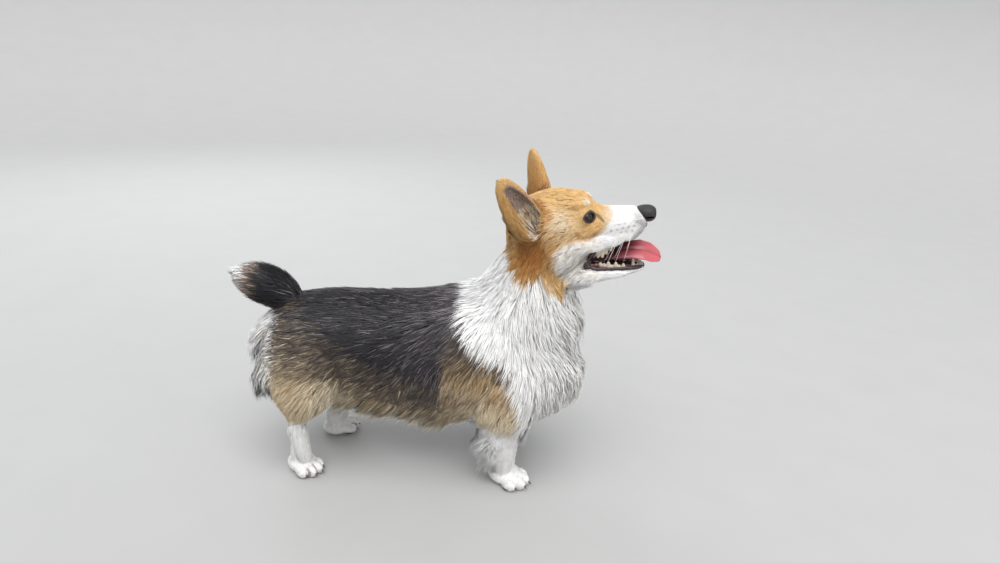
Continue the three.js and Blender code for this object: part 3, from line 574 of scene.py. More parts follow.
# The lids' bare edge: a soft black rim along the almond, thicker at the inner corner, moist.
# A ring is laid round each opening where it meets the lid's outer shell.
RIM_WIDE = 0.0009
RIM_THICK = 0.0006
RIM_DEPTH = 0.62                        # of the lid's thickness, out from the ball
RIM_CORNER = 0.6                        # how much thicker it is at the inner corner
rims = []
for side in (RIGHT, LEFT):
    bpy.ops.object.select_all(action="DESELECT")
    bpy.ops.mesh.primitive_torus_add(major_segments=56, minor_segments=10, major_radius=1, minor_radius=0.1)
    rim = bpy.context.object
    shell = EYE_RADIUS + LID * RIM_DEPTH
    ring = []
    for vertex in rim.data.vertices:
        around = math.atan2(vertex.co.y, vertex.co.x)
        outward = (math.hypot(vertex.co.x, vertex.co.y) - 1) * 10
        across = Vector((0, LID_OPENING[1] * math.cos(around), LID_OPENING[2] * math.sin(around)))
        reach = 0.93
        for _ in range(8):
            depth = math.sqrt(shell ** 2 - (across * reach).length_squared)
            reach = math.sqrt(max(1 - ((depth - EYE_RADIUS) / LID_OPENING[0]) ** 2, 0.2))
        spot = across * reach + Vector((depth, -LID_FORWARD, 0))
        lifted = spot.normalized()
        aside = (across - lifted * across.dot(lifted)).normalized()
        corner = 1 + RIM_CORNER * max(-math.cos(around), 0) ** 6
        ring.append(spot + aside * outward * RIM_WIDE * corner + lifted * vertex.co.z * 10 * RIM_THICK)
    for vertex, spot in zip(rim.data.vertices, ring):
        vertex.co = spot
    moved(rim.data, eye_frames[side])
    rims.append(rim)
lid_rims = gathered(rims, "lid_rims")
bpy.ops.object.shade_smooth()
lid_rims.data.materials.append(mottled("lid_skin", 700, 2, (0, (0.01, 0.008, 0.009)),
                                       (1, (0.03, 0.021, 0.021)), Roughness=0.42, Coat_Weight=0.35))
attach(lid_rims, "root")

# Nose: bare black leather, cobbled and moist, with round nostrils that run back as slits and a groove
# down the middle. Drawn out of the muzzle's end, cut with rounded masses and melted even.
NOSE_ROWS = [
    (0.144, 0.014, 0.0085, 0.005), (0.149, 0.0162, 0.001, 0.0108), (0.157, 0.0176, -0.0075, 0.0148),
    (0.1655, 0.017, -0.0075, 0.0145), (0.1712, 0.0135, -0.004, 0.0108), (0.1732, 0.0098, 0.001, 0.005)]
NOSE_GRAIN = 0.0007
NOSE_CUTS = [                           # centre, radii, turn; the first two on both sides
    ((0.169, 0.0062, 0.005), (0.0085, 0.0026, 0.0032), 0.0),
    ((0.163, 0.0128, 0.0018), (0.0085, 0.005, 0.0015), -0.42),
    ((0.1735, 0.0, 0.001), (0.003, 0.0007, 0.009), 0.0)]
nose = drawn_out(NOSE_ROWS, on_head @ BODY, sides=24)
nose.name = "nose_leather"
melted(nose, NOSE_GRAIN)
pits = [muscle(NOSE_CUTS[2][0], NOSE_CUTS[2][1], on_head)]
for centre, radii, turn in NOSE_CUTS[:2]:
    for side in (RIGHT, LEFT):
        pits.append(muscle((centre[0], centre[1] * side, centre[2]), radii, on_head, (0, 0, turn * side)))
pits = gathered(pits, "nostrils")
melted(pits, NOSE_GRAIN)
carved(nose, pits, NOSE_GRAIN)
applied(nose, "SMOOTH", iterations=3)
bpy.ops.object.shade_smooth()


def bumped(nodes, links, kind, scale, height, strength, depth):
    """A fine texture that raises a material's surface."""
    places = nodes.new("ShaderNodeTexCoord")
    texture = nodes.new(kind)
    texture.inputs["Scale"].default_value = scale
    raised = nodes.new("ShaderNodeBump")
    raised.inputs["Strength"].default_value = strength
    raised.inputs["Distance"].default_value = depth
    links.new(places.outputs["Object"], texture.inputs["Vector"])
    links.new(texture.outputs[height], raised.inputs["Height"])
    links.new(raised.outputs["Normal"], nodes["Principled BSDF"].inputs["Normal"])
    return texture


nose_finish, nodes, links = finish("nose_leather", Roughness=0.46, Coat_Weight=0.15, Coat_Roughness=0.25)
cobbles = bumped(nodes, links, "ShaderNodeTexVoronoi", 800, "Distance", 0.9, 0.0008)
cobbles.feature = "DISTANCE_TO_EDGE"
tint = nodes.new("ShaderNodeMix")
tint.data_type = "RGBA"
tint.inputs["A"].default_value = (0.008, 0.007, 0.008, 1)
tint.inputs["B"].default_value = (0.026, 0.024, 0.027, 1)
links.new(cobbles.outputs["Distance"], tint.inputs["Factor"])
links.new(tint.outputs["Result"], nodes["Principled BSDF"].inputs["Base Color"])
nose.data.materials.clear()
nose.data.materials.append(nose_finish)
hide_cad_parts("nose")
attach(nose, "root")

# Lips: loose black-brown skin along both edges of the mouth, slack and folded at its corner, wet.
# Each is drawn out along its edge; folds are added at the corner and all is melted together.
# A row is (x, upper edge, lower edge, half thickness, distance from the middle) on the left.
UPPER_LIP_ROWS = [
    (0.075, -0.057, -0.0625, 0.0018, 0.0335), (0.0815, -0.0475, -0.053, 0.0018, 0.0315),
    (0.0885, -0.039, -0.0445, 0.0018, 0.0293), (0.097, -0.0345, -0.04, 0.0019, 0.0268),
    (0.112, -0.03, -0.0355, 0.0018, 0.0232), (0.134, -0.026, -0.0315, 0.0018, 0.0185),
    (0.146, -0.0205, -0.0262, 0.0018, 0.012), (0.153, -0.018, -0.0236, 0.0018, 0.005),
    (0.1545, -0.0175, -0.023, 0.0018, 0.0)]
LOWER_LIP_ROWS = [
    (0.073, -0.059, -0.069, 0.002, 0.0335), (0.081, -0.0655, -0.0712, 0.0024, 0.0316),
    (0.097, -0.068, -0.0728, 0.0024, 0.028), (0.117, -0.0688, -0.0735, 0.0024, 0.0234),
    (0.135, -0.0682, -0.0745, 0.003, 0.0188), (0.148, -0.0688, -0.0762, 0.0038, 0.0118),
    (0.155, -0.0708, -0.0762, 0.0034, 0.0045), (0.1565, -0.0715, -0.0752, 0.0028, 0.0)]
CORNER_FOLDS = [                        # centre, radii
    ((0.0745, 0.0335, -0.064), (0.0036, 0.002, 0.0065)), ((0.079, 0.0305, -0.06), (0.003, 0.0018, 0.006)),
    ((0.087, 0.029, -0.065), (0.0075, 0.0018, 0.0024)), ((0.086, 0.0285, -0.047), (0.003, 0.0016, 0.006))]
LIP_GRAIN = 0.0008
PHILTRUM = ((0.1584, 0, -0.011), (0.0022, 0.0007, 0.0055))
lip_parts = [muscle(*PHILTRUM, on_head)]
for side in (RIGHT, LEFT):
    half_head = on_head @ Matrix.Diagonal((1, side, 1, 1))
    for rows in (UPPER_LIP_ROWS, LOWER_LIP_ROWS):
        lip_parts.append(drawn_out(rows, half_head @ BODY, sides=12))
    for centre, radii in CORNER_FOLDS:
        lip_parts.append(muscle(centre, radii, half_head))
lips = gathered(lip_parts, "lips")
melted(lips, LIP_GRAIN)
crimps = bpy.data.textures.new("lip_crimps", "CLOUDS")
crimps.noise_scale = 0.006
applied(lips, "DISPLACE", texture=crimps, strength=0.0014, mid_level=0.5)
bpy.ops.object.shade_smooth()
lips.data.materials.append(mottled("lip_skin", 260, 4, (0.4, (0.009, 0.007, 0.008)),
                                   (0.75, (0.06, 0.02, 0.019)), Roughness=0.45, Coat_Weight=0.25,
                                   Coat_Roughness=0.2))
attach(lips, "root")

# Gums: dark pink ridges that hold the teeth, above and below, wet.
# A row as for the lips.
LOWER_GUM_ROWS = [
    (0.074, -0.06, -0.08, 0.0036, 0.0262), (0.09, -0.064, -0.082, 0.0046, 0.0236),
    (0.115, -0.066, -0.082, 0.0044, 0.019), (0.135, -0.068, -0.081, 0.0036, 0.0138),
    (0.148, -0.071, -0.08, 0.0034, 0.006), (0.151, -0.072, -0.079, 0.003, 0.0)]
UPPER_GUM_ROWS = [
    (0.084, -0.036, -0.048, 0.003, 0.0222), (0.093, -0.028, -0.044, 0.0034, 0.0212),
    (0.104, -0.023, -0.0365, 0.0034, 0.019), (0.115, -0.02, -0.03, 0.0034, 0.0165),
    (0.13, -0.018, -0.0262, 0.0032, 0.0122), (0.14, -0.015, -0.0215, 0.003, 0.0065),
    (0.143, -0.015, -0.02, 0.0028, 0.0)]
GUM_GRAIN = 0.001
gum_parts = []
for side in (RIGHT, LEFT):
    half_head = on_head @ Matrix.Diagonal((1, side, 1, 1))
    for rows in (LOWER_GUM_ROWS, UPPER_GUM_ROWS):
        gum_parts.append(drawn_out(rows, half_head @ BODY, sides=12))
gums = gathered(gum_parts, "gums")
melted(gums, GUM_GRAIN)
bpy.ops.object.shade_smooth()
gums.data.materials.append(mottled("gum_flesh", 90, 2, (0.38, (0.05, 0.016, 0.018)),
                                   (0.62, (0.3, 0.07, 0.075)), Roughness=0.3, Coat_Weight=0.5))
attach(gums, "root")

# Teeth: ivory in mottled tones, blunt cusps on the cheek teeth, tall canines. Each cusp is a rounded
# cone, and all are melted together. The lower row comes first.
TOOTH_GRAIN = 0.0008
THICKEST_CUSP = 0.0033
CUSPS = [                               # x, distance from the middle, half length, tip's height, root's
    (0.084, 0.0235, 0.0044, -0.064, -0.07), (0.0885, 0.0232, 0.0046, -0.063, -0.07),
    (0.0945, 0.0226, 0.006, -0.0612, -0.071), (0.1, 0.0222, 0.0046, -0.0625, -0.071),
    (0.106, 0.0216, 0.0054, -0.0605, -0.071), (0.111, 0.0208, 0.0034, -0.0655, -0.0715),
    (0.1165, 0.0197, 0.005, -0.062, -0.0715), (0.121, 0.019, 0.0034, -0.066, -0.072),
    (0.127, 0.0176, 0.0044, -0.0645, -0.0725), (0.1405, 0.0122, 0.0036, -0.0575, -0.0745),
    (0.1465, 0.0075, 0.0026, -0.0665, -0.074), (0.1495, 0.0028, 0.0026, -0.067, -0.074),
    (0.086, 0.0238, 0.0048, -0.052, -0.041), (0.0915, 0.0234, 0.0056, -0.0545, -0.0405),
    (0.0975, 0.0226, 0.006, -0.0545, -0.039), (0.1035, 0.0214, 0.0044, -0.05, -0.037),
    (0.1095, 0.0196, 0.005, -0.0455, -0.034), (0.117, 0.0172, 0.0046, -0.0395, -0.03),
    (0.124, 0.015, 0.004, -0.0345, -0.026), (0.134, 0.0112, 0.0036, -0.0335, -0.02),
    (0.1395, 0.007, 0.0024, -0.0262, -0.018), (0.142, 0.0026, 0.0022, -0.0255, -0.018)]
bpy.ops.object.select_all(action="DESELECT")
bpy.ops.mesh.primitive_cone_add(vertices=14, radius1=1, radius2=0.34, depth=1)
bpy.ops.object.mode_set(mode="EDIT")
bpy.ops.mesh.select_all(action="SELECT")
bpy.ops.mesh.bevel(offset=0.12, segments=2, affect="EDGES", profile=0.6)
bpy.ops.object.mode_set(mode="OBJECT")
cusp = bpy.context.object
tooth_places = []
for x, y, half, tip, root_height in CUSPS:
    for side in (RIGHT, LEFT):
        tooth_places.append(on_head @ Matrix.Translation((x, y * side, (tip + root_height) / 2))
                            @ Matrix.Diagonal((half, min(half, THICKEST_CUSP), tip - root_height, 1)))
teeth = copies(cusp, tooth_places, "teeth")
melted(teeth, TOOTH_GRAIN)
applied(teeth, "SMOOTH", iterations=2)
bpy.ops.object.shade_smooth()
teeth.data.materials.append(mottled("tooth_enamel", 160, 3, (0, (0.36, 0.275, 0.185)),
                                    (1, (0.69, 0.635, 0.545)), Roughness=0.3, Coat_Weight=0.4))
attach(teeth, "root")

# Tongue: wet, rose-red at the tip and darker towards the root, partly deeper red and partly painted shade of
# the mouth, tilted so that it hangs out over the near side, with a groove down its middle that is painted
# darker as shade. Drawn out row by row; the groove and the wavy edge are pressed in after.
TONGUE_ROLL = math.radians(30)
TONGUE = Matrix.Translation((0, -0.004, -0.05)) @ Matrix.Rotation(TONGUE_ROLL, 4, "X")
TONGUE_ROWS = [
    (0.066, -0.008, -0.014, 0.006), (0.074, -0.005, -0.015, 0.011), (0.095, -0.001, -0.011, 0.014),
    (0.12, 0.004, -0.006, 0.016), (0.142, 0.007, -0.0005, 0.018), (0.158, 0.0035, -0.004, 0.019),
    (0.171, -0.0055, -0.012, 0.0165), (0.18, -0.013, -0.017, 0.0085)]
GROOVE_DEEP = 0.0022
GROOVE_WIDE = 0.003
EDGE_RISE = 0.0016
EDGE_WAVE = 0.0008
WAVES_ALONG, WAVES_ACROSS = 420, 90
GROOVE_PAINTED_SHADE = 0.22
SHADED_ROOT_RED = (0.07, 0.01, 0.014)
TIP_ROSE = (0.5, 0.085, 0.105)
tongue = drawn_out(TONGUE_ROWS, BODY, sides=28)
tongue.name = "tongue_flesh"
tongue_places = [row[0] for row in TONGUE_ROWS]
tongue_middles = [(upper + lower) / 2 for _, upper, lower, _ in TONGUE_ROWS]
tongue_halves = [row[3] for row in TONGUE_ROWS]
flushes = []
for vertex in tongue.data.vertices:
    x, y, z = vertex.co
    to_edge = y / np.interp(x, tongue_places, tongue_halves)
    forward = ramp(0.095, 0.125, x)
    on_top = 1 if z > np.interp(x, tongue_places, tongue_middles) else -0.5
    in_groove = math.exp(-(y / GROOVE_WIDE) ** 2)
    vertex.co.z -= GROOVE_DEEP * on_top * in_groove * forward
    vertex.co.z += EDGE_RISE * forward * to_edge ** 2
    vertex.co.z += EDGE_WAVE * forward * math.sin(x * WAVES_ALONG + y * WAVES_ACROSS) * to_edge ** 4
    # painted shade: the colour darkens towards the root inside the mouth and along the groove
    flush = ramp(0.105, 0.172, x)
    shaded = 1 - GROOVE_PAINTED_SHADE * in_groove
    flushes.append([(deep + (rose - deep) * flush) * shaded for deep, rose in zip(SHADED_ROOT_RED, TIP_ROSE)] + [1])
tongue.data.transform(on_head @ TONGUE)
bpy.ops.object.shade_smooth()
held = tongue.data.color_attributes.new("flush", "FLOAT_COLOR", "POINT")
held.data.foreach_set("color", np.array(flushes, np.float32).ravel())
tongue_finish, nodes, links = finish("tongue_wet", Roughness=0.38, Coat_Weight=0.35, Coat_Roughness=0.25,
                                     Subsurface_Weight=0.15, Subsurface_Scale=0.004)
flushed = nodes.new("ShaderNodeAttribute")
flushed.attribute_name = "flush"
links.new(flushed.outputs["Color"], nodes["Principled BSDF"].inputs["Base Color"])
bumped(nodes, links, "ShaderNodeTexVoronoi", 1100, "Distance", 0.35, 0.0003)
tongue.data.materials.append(tongue_finish)
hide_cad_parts("tongue")
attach(tongue, "root")

# Claws: short, curved, dark horn, one to a toe; pads: black cobbled leather under the toes and heel.
# One of each is drawn and set at every toe.
CLAW_ROWS = [
    (-0.003, 0.002, -0.0022, 0.0018), (0.0012, 0.0016, -0.0024, 0.0018), (0.0038, 0.0002, -0.0032, 0.0014),
    (0.0056, -0.0018, -0.0044, 0.0009), (0.0066, -0.004, -0.0054, 0.0004)]
CLAW_BACK = 0.004                       # from the toe's front end
CLAW_LIFT = 0.0005
claw = drawn_out(CLAW_ROWS, BODY, sides=6)
claw_places = []
for paw in paw_frames.values():
    for centre, radii in TOES:
        claw_at = (centre[0] + radii[0] - CLAW_BACK, centre[1], centre[2] + CLAW_LIFT)
        claw_places.append(paw @ Matrix.Translation(claw_at))
claws = copies(claw, claw_places, "claws")
bpy.ops.object.shade_smooth()
claws.data.materials.append(mottled("claw_horn", 260, 2, (0, (0.035, 0.024, 0.018)),
                                    (1, (0.2, 0.14, 0.095)), Roughness=0.38))
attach(claws, "root")

PAD_MASSES = [((centre[0] - 0.001, centre[1], 0.0045), (0.0085, 0.0058, 0.004)) for centre, _ in TOES]
PAD_MASSES.append(((-0.007, 0, 0.005), (0.0135, 0.014, 0.0046)))
pad_parts = []
for paw in paw_frames.values():
    for centre, radii in PAD_MASSES:
        pad_parts.append(paw @ Matrix.LocRotScale(Vector(centre), None, Vector(radii)))
bpy.ops.object.select_all(action="DESELECT")
bpy.ops.mesh.primitive_uv_sphere_add(segments=20, ring_count=12, radius=1)
pads = copies(bpy.context.object, pad_parts, "pads")
bpy.ops.object.shade_smooth()
pads.data.materials.append(nose_finish)
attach(pads, "root")

# The lie of the coat, as it is combed: at each of these guides the hair is of one kind and runs one way,
# and between them it turns evenly from one to the next. A guide is its place and the hair's way there,
# three numbers each. The left side mirrors the right.
COAT_KINDS = {
    # length, rise of the tips over the skin, half width of a tuft, how far tufts draw together,
    # how closely they follow the skin, tufts on a square centimetre
    "back": (0.034, 0.009, 0.00055, 0.45, 1.0, 42),
    "flank": (0.036, 0.01, 0.00055, 0.48, 1.0, 42),
    "haunch": (0.034, 0.01, 0.00055, 0.42, 1.0, 42),
    "belly": (0.034, 0.012, 0.0008, 0.45, 0.35, 16),
    "fringe": (0.054, 0.008, 0.0006, 0.38, 0.1, 46),
    "shank": (0.024, 0.007, 0.00052, 0.38, 0.9, 44),
    "breeches": (0.056, 0.02, 0.00075, 0.5, 0.3, 40),
    "tail": (0.03, 0.015, 0.00055, 0.25, 0.95, 84),
    "bib": (0.058, 0.02, 0.0007, 0.52, 0.75, 38),
    "frill": (0.062, 0.025, 0.00072, 0.52, 0.45, 34),
    "ruff": (0.054, 0.017, 0.0007, 0.45, 0.85, 40),
    "nape": (0.034, 0.0085, 0.0006, 0.36, 0.95, 50),
    "throat": (0.03, 0.011, 0.00058, 0.4, 0.9, 50),
    "shoulder": (0.036, 0.011, 0.00058, 0.45, 0.9, 42),
    "feather": (0.034, 0.009, 0.00055, 0.5, 0.1, 50),
    "leg": (0.0095, 0.002, 0.00048, 0.15, 1.0, 72),
    "paw": (0.0055, 0.001, 0.00044, 0.1, 1.0, 90),
    "muzzle": (0.0055, 0.0008, 0.00042, 0.08, 1.0, 115),
    "lids": (0.0034, 0.0004, 0.00032, 0.05, 1.0, 170),
    "face": (0.009, 0.0014, 0.00044, 0.22, 1.0, 95),
    "crown": (0.0135, 0.0026, 0.00048, 0.26, 1.0, 78),
    "temple": (0.016, 0.004, 0.00048, 0.48, 1.0, 66),
    "cheek": (0.023, 0.007, 0.0005, 0.5, 1.0, 58),
    "ear": (0.0065, 0.001, 0.00038, 0.12, 1.0, 90),
    "furnishing": (0.02, 0.0045, 0.00036, 0.45, 0.4, 30),
}
TRUNK_LIE = {
    "back": [
        (-0.215, 0.02, 0.268, -1, 0.1, -0.3), (-0.15, 0.02, 0.28, -1, 0, -0.05),
        (-0.06, 0.02, 0.281, -1, 0, 0), (0.03, 0.02, 0.29, -1, 0, -0.1), (0.08, 0.025, 0.305, -1, 0, -0.4)],
    "flank": [
        (-0.14, 0.07, 0.245, -1, 0, -0.18), (-0.06, 0.075, 0.25, -1, 0, -0.25),
        (0.02, 0.08, 0.25, -0.8, 0, -0.6), (0.065, 0.08, 0.255, -0.65, 0, -0.75),
        (-0.06, 0.082, 0.19, -0.9, 0, -0.45), (0.01, 0.085, 0.19, -0.5, 0, -0.85),
        (0.055, 0.085, 0.19, -0.25, 0, -0.97), (-0.07, 0.072, 0.155, -0.65, 0, -0.75),
        (0.0, 0.078, 0.15, -0.45, 0, -0.9)],
    "fringe": [
        (-0.08, 0.062, 0.128, -0.6, 0, -0.8), (-0.035, 0.066, 0.12, -0.55, 0, -0.85),
        (0.01, 0.07, 0.115, -0.5, 0, -0.87), (0.05, 0.072, 0.112, -0.45, 0, -0.9),
        (0.085, 0.074, 0.105, -0.45, 0, -0.9)],
    "belly": [
        (-0.08, 0.03, 0.11, -0.7, 0.1, -0.5), (0.0, 0.035, 0.1, -0.6, 0.1, -0.6),
        (0.075, 0.035, 0.097, -0.5, 0.1, -0.7), (0.195, 0.03, 0.098, -0.6, 0, -0.8)],
    "breeches": [
        (-0.23, 0.02, 0.225, -0.7, 0.15, -0.7), (-0.215, 0.015, 0.155, -0.4, 0, -0.9)],
    "tail": [
        (-0.205, 0.01, 0.29, -0.96, 0, 0.2), (-0.235, 0.015, 0.305, -0.97, 0.05, 0.22),
        (-0.262, 0.006, 0.316, -0.92, 0, 0.3), (-0.225, 0.012, 0.268, -0.97, 0, 0.1),
        (-0.276, 0.01, 0.3, -0.85, 0.45, 0.15), (-0.262, 0.006, 0.283, -0.9, 0, -0.3),
        (-0.235, 0.022, 0.288, -0.97, 0.15, 0.1), (-0.276, 0.002, 0.304, -0.8, 0.1, 0.5)],
    "frill": [
        (0.245, 0.012, 0.24, 0.75, 0, -0.7), (0.252, 0.012, 0.19, 0.5, 0, -0.85),
        (0.225, 0.055, 0.23, 0.7, 0.1, -0.75), (0.205, 0.06, 0.29, 0.75, 0.05, -0.65),
        (0.222, 0.015, 0.3, 0.8, 0, -0.65)],
    "bib": [
        (0.24, 0.02, 0.14, 0.25, 0, -0.95), (0.222, 0.06, 0.18, 0.55, 0.1, -0.85),
        (0.205, 0.065, 0.13, 0.2, 0.05, -0.97), (0.195, 0.08, 0.235, 0.45, 0.1, -0.9)],
    "ruff": [
        (0.165, 0.078, 0.3, 0.05, 0.05, -1), (0.12, 0.078, 0.29, -0.3, 0.05, -1),
        (0.095, 0.07, 0.31, -0.5, 0.1, -0.9), (0.085, 0.03, 0.34, -0.7, 0.1, -0.75),
        (0.13, 0.066, 0.345, -0.2, 0.1, -1), (0.16, 0.09, 0.25, -0.2, 0.1, -1),
        (0.115, 0.095, 0.24, -0.4, 0.05, -0.95), (0.19, 0.068, 0.265, 0.6, 0.1, -0.8),
        (0.17, 0.066, 0.33, 0.1, 0.1, -1)],
    "nape": [
        (0.112, 0.02, 0.39, -0.45, 0.1, -0.9)],
    "throat": [
        (0.222, 0.02, 0.335, 0.45, 0.05, -0.88), (0.19, 0.052, 0.345, 0.55, 0.05, -0.85)]}
HIND_LIE = {
    "haunch": [
        (-0.19, 0.07, 0.235, -1, 0, -0.2), (-0.15, 0.085, 0.215, -1, 0, -0.35),
        (-0.115, 0.085, 0.19, -0.8, 0, -0.6), (-0.17, 0.09, 0.175, -0.7, 0, -0.7),
        (-0.13, 0.088, 0.15, -0.45, 0, -0.9)],
    "shank": [
        (-0.15, 0.085, 0.115, -0.3, 0, -0.95), (-0.178, 0.08, 0.118, -0.4, 0, -0.92),
        (-0.15, 0.04, 0.12, -0.3, 0, -0.95), (-0.202, 0.062, 0.142, -0.5, 0.05, -0.87),
        (-0.19, 0.066, 0.118, -0.3, 0.05, -0.95)],
    "breeches": [
        (-0.222, 0.05, 0.185, -0.6, 0.15, -0.8)],
    "leg": [
        (-0.168, 0.085, 0.07, 0, 0, -1), (-0.165, 0.08, 0.04, 0.1, 0, -1), (-0.168, 0.052, 0.06, 0, 0, -1)],
    "paw": [
        (-0.15, 0.07, 0.02, 0.8, 0.4, -0.4), (-0.18, 0.056, 0.014, 0.2, 0.1, -0.9)]}
FORE_LIE = {
    "shoulder": [
        (0.14, 0.092, 0.205, -0.45, 0, -0.9), (0.105, 0.095, 0.165, -0.45, 0, -0.9),
        (0.16, 0.095, 0.155, -0.35, 0, -0.93), (0.092, 0.088, 0.125, -0.6, 0, -0.8)],
    "shank": [
        (0.135, 0.092, 0.118, -0.3, 0, -0.95), (0.14, 0.045, 0.11, -0.2, 0, -0.95)],
    "leg": [
        (0.15, 0.085, 0.08, -0.1, 0, -1), (0.148, 0.078, 0.045, 0, 0, -1), (0.145, 0.045, 0.06, 0, 0, -1)],
    "feather": [
        (0.117, 0.068, 0.088, -0.75, 0, -0.65), (0.12, 0.064, 0.06, -0.55, 0, -0.85)],
    "paw": [
        (0.17, 0.066, 0.02, 0.8, 0.4, -0.4), (0.14, 0.054, 0.014, 0.2, 0.1, -0.9)]}
HEAD_LIE = {
    "muzzle": [
        (0.148, 0.006, 0.016, -1, 0, 0), (0.12, 0.008, 0.016, -1, 0.1, 0),
        (0.098, 0.008, 0.018, -1, 0.1, 0.2), (0.142, 0.017, -0.004, -0.95, 0.1, -0.2),
        (0.118, 0.023, -0.008, -0.95, 0.1, -0.25), (0.12, 0.023, -0.028, -0.85, 0.05, -0.5),
        (0.15, 0.012, -0.014, -0.8, 0.2, -0.5), (0.15, 0.006, -0.082, -0.9, 0.1, -0.4),
        (0.12, 0.01, -0.03, -1, 0, 0), (0.12, 0.01, -0.072, -1, 0, 0)],
    "face": [
        (0.08, 0.006, 0.03, -0.8, 0.05, 0.6), (0.084, 0.02, 0.019, -0.8, 0.3, 0.5),
        (0.064, 0.036, 0.016, -0.95, 0.3, 0.1), (0.078, 0.034, -0.01, -0.85, 0.3, -0.4),
        (0.098, 0.029, -0.012, -0.95, 0.2, -0.3), (0.096, 0.03, -0.034, -0.9, 0.1, -0.5),
        (0.125, 0.018, -0.088, -1, 0.05, -0.2), (0.095, 0.026, -0.092, -1, 0.05, -0.3)],
    "crown": [
        (0.055, 0.012, 0.041, -1, 0.1, 0.1), (0.02, 0.015, 0.043, -1, 0.1, -0.1),
        (0.045, 0.036, 0.028, -1, 0.3, 0), (-0.02, 0.045, -0.03, -0.5, 0.1, -0.9),
        (0.0, 0.052, -0.035, -0.4, 0.1, -0.95), (0.022, 0.052, -0.02, -0.4, 0.1, -0.9)],
    "cheek": [
        (-0.02, 0.015, 0.03, -0.8, 0, -0.6), (0.045, 0.046, -0.02, -0.9, 0.15, -0.5),
        (0.02, 0.052, -0.045, -0.6, 0.1, -0.8), (0.06, 0.042, -0.05, -0.8, 0.15, -0.6),
        (0.045, 0.04, -0.078, -0.7, 0.1, -0.7), (-0.01, 0.045, -0.065, -0.3, 0.1, -0.95),
        (0.022, 0.048, -0.07, -0.2, 0.1, -1)],
    "temple": [
        (0.03, 0.05, 0.005, -0.9, 0.2, -0.45), (0.048, 0.046, 0.004, -0.95, 0.2, -0.3)],
    "lids": [
        (0.0745, 0.036, 0.02, -0.8, 0.3, 0.5), (0.086, 0.029, 0.0185, -0.6, 0.3, 0.7),
        (0.095, 0.028, 0.006, -0.7, 0.3, -0.6), (0.084, 0.034, -0.005, -0.85, 0.3, -0.4),
        (0.068, 0.039, 0.006, -0.95, 0.3, 0.1), (0.1, 0.026, 0.001, -0.8, 0.3, -0.4)],
    "throat": [
        (0.065, 0.02, -0.102, -0.9, 0, -0.45)]}
EAR_LIE = {                             # in the ear's frame: X up the ear, Z out of the cup
    "crown": [
        (-0.004, 0.012, -0.018, 1, 0, -0.1), (-0.004, -0.012, -0.018, 1, 0, -0.1)],
    "ear": [
        (0.03, 0.012, -0.016, 1, 0.1, 0), (0.03, -0.012, -0.016, 1, -0.1, 0), (0.065, 0.01, -0.01, 1, 0, 0),
        (0.065, -0.01, -0.01, 1, 0, 0), (0.092, 0, -0.004, 1, 0, 0), (0.045, 0.024, 0.002, 1, 0, 0.2),
        (0.045, -0.024, 0.002, 1, 0, 0.2), (0.02, 0.027, 0.004, 1, 0, 0.3),
        (0.02, -0.027, 0.004, 1, 0, 0.3), (0.05, 0.01, -0.006, 1, 0, 0.1), (0.05, -0.01, -0.006, 1, 0, 0.1),
        (0.075, 0, -0.003, 1, 0, 0.1)],
    "furnishing": [
        (0.0, 0.01, -0.006, 0.9, 0.1, 0.45), (0.002, -0.01, -0.006, 0.9, -0.1, 0.45),
        (0.022, 0.015, -0.009, 0.95, 0, 0.3), (0.022, -0.015, -0.009, 0.95, 0, 0.3)]}
HAND_OVER = 5                           # how sharply the lie passes from one place to the next

kind_names = list(COAT_KINDS)
kind_facts = np.array(list(COAT_KINDS.values()))
guide_spots, guide_ways, guide_kinds = [], [], []


def comb(lies, frame_of, mirror_too=True):
    """Sets the lie of the hair at these places, on both sides of the dog."""
    for side in (RIGHT, LEFT):
        placed = frame_of(side) @ Matrix.Diagonal((1, side if mirror_too else 1, 1, 1))
        for kind, guides in lies.items():
            for guide in guides:
                guide_spots.append(placed @ Vector(guide[:3]))
                guide_ways.append((placed.to_3x3() @ Vector(guide[3:])).normalized())
                guide_kinds.append(kind_names.index(kind))


def with_leg(pair):
    """Where a pair of legs stands: the left one is ahead of the right one, or behind it."""
    return lambda side: at_zero @ Matrix.Translation((LEFT_AHEAD[pair] if side == LEFT else 0, 0, 0))


comb(TRUNK_LIE, lambda side: at_zero)
comb(HIND_LIE, with_leg("hind"))
comb(FORE_LIE, with_leg("fore"))
comb(HEAD_LIE, lambda side: on_head)
comb(EAR_LIE, lambda side: ear_frames[side], mirror_too=False)
guide_spots, guide_ways, guide_kinds = np.array(guide_spots), np.array(guide_ways), np.array(guide_kinds)


def lie_of_coat(points, outs):
    """Which way the hair lies at each place, along the skin, the facts of its kind and the nearest kind."""
    ways, facts = np.zeros((len(points), 3)), np.zeros((len(points), kind_facts.shape[1]))
    nearest = np.zeros(len(points), int)
    for start in range(0, len(points), 20000):
        part = slice(start, start + 20000)
        gap = np.linalg.norm(points[part, None] - guide_spots[None], axis=2) + 0.002
        weight = gap ** -HAND_OVER
        weight /= weight.sum(1, keepdims=True)
        ways[part] = weight @ guide_ways
        facts[part] = weight @ kind_facts[guide_kinds]
        nearest[part] = guide_kinds[gap.argmin(1)]
    # where the hair clings it runs along the skin; where it hangs free it may lead away from it
    leading_out = (ways * outs).sum(1, keepdims=True)
    ways -= outs * leading_out * np.where(leading_out > 0, facts[:, 4:5], 1)
    return ways / (np.linalg.norm(ways, axis=1, keepdims=True) + 1e-9), facts, nearest


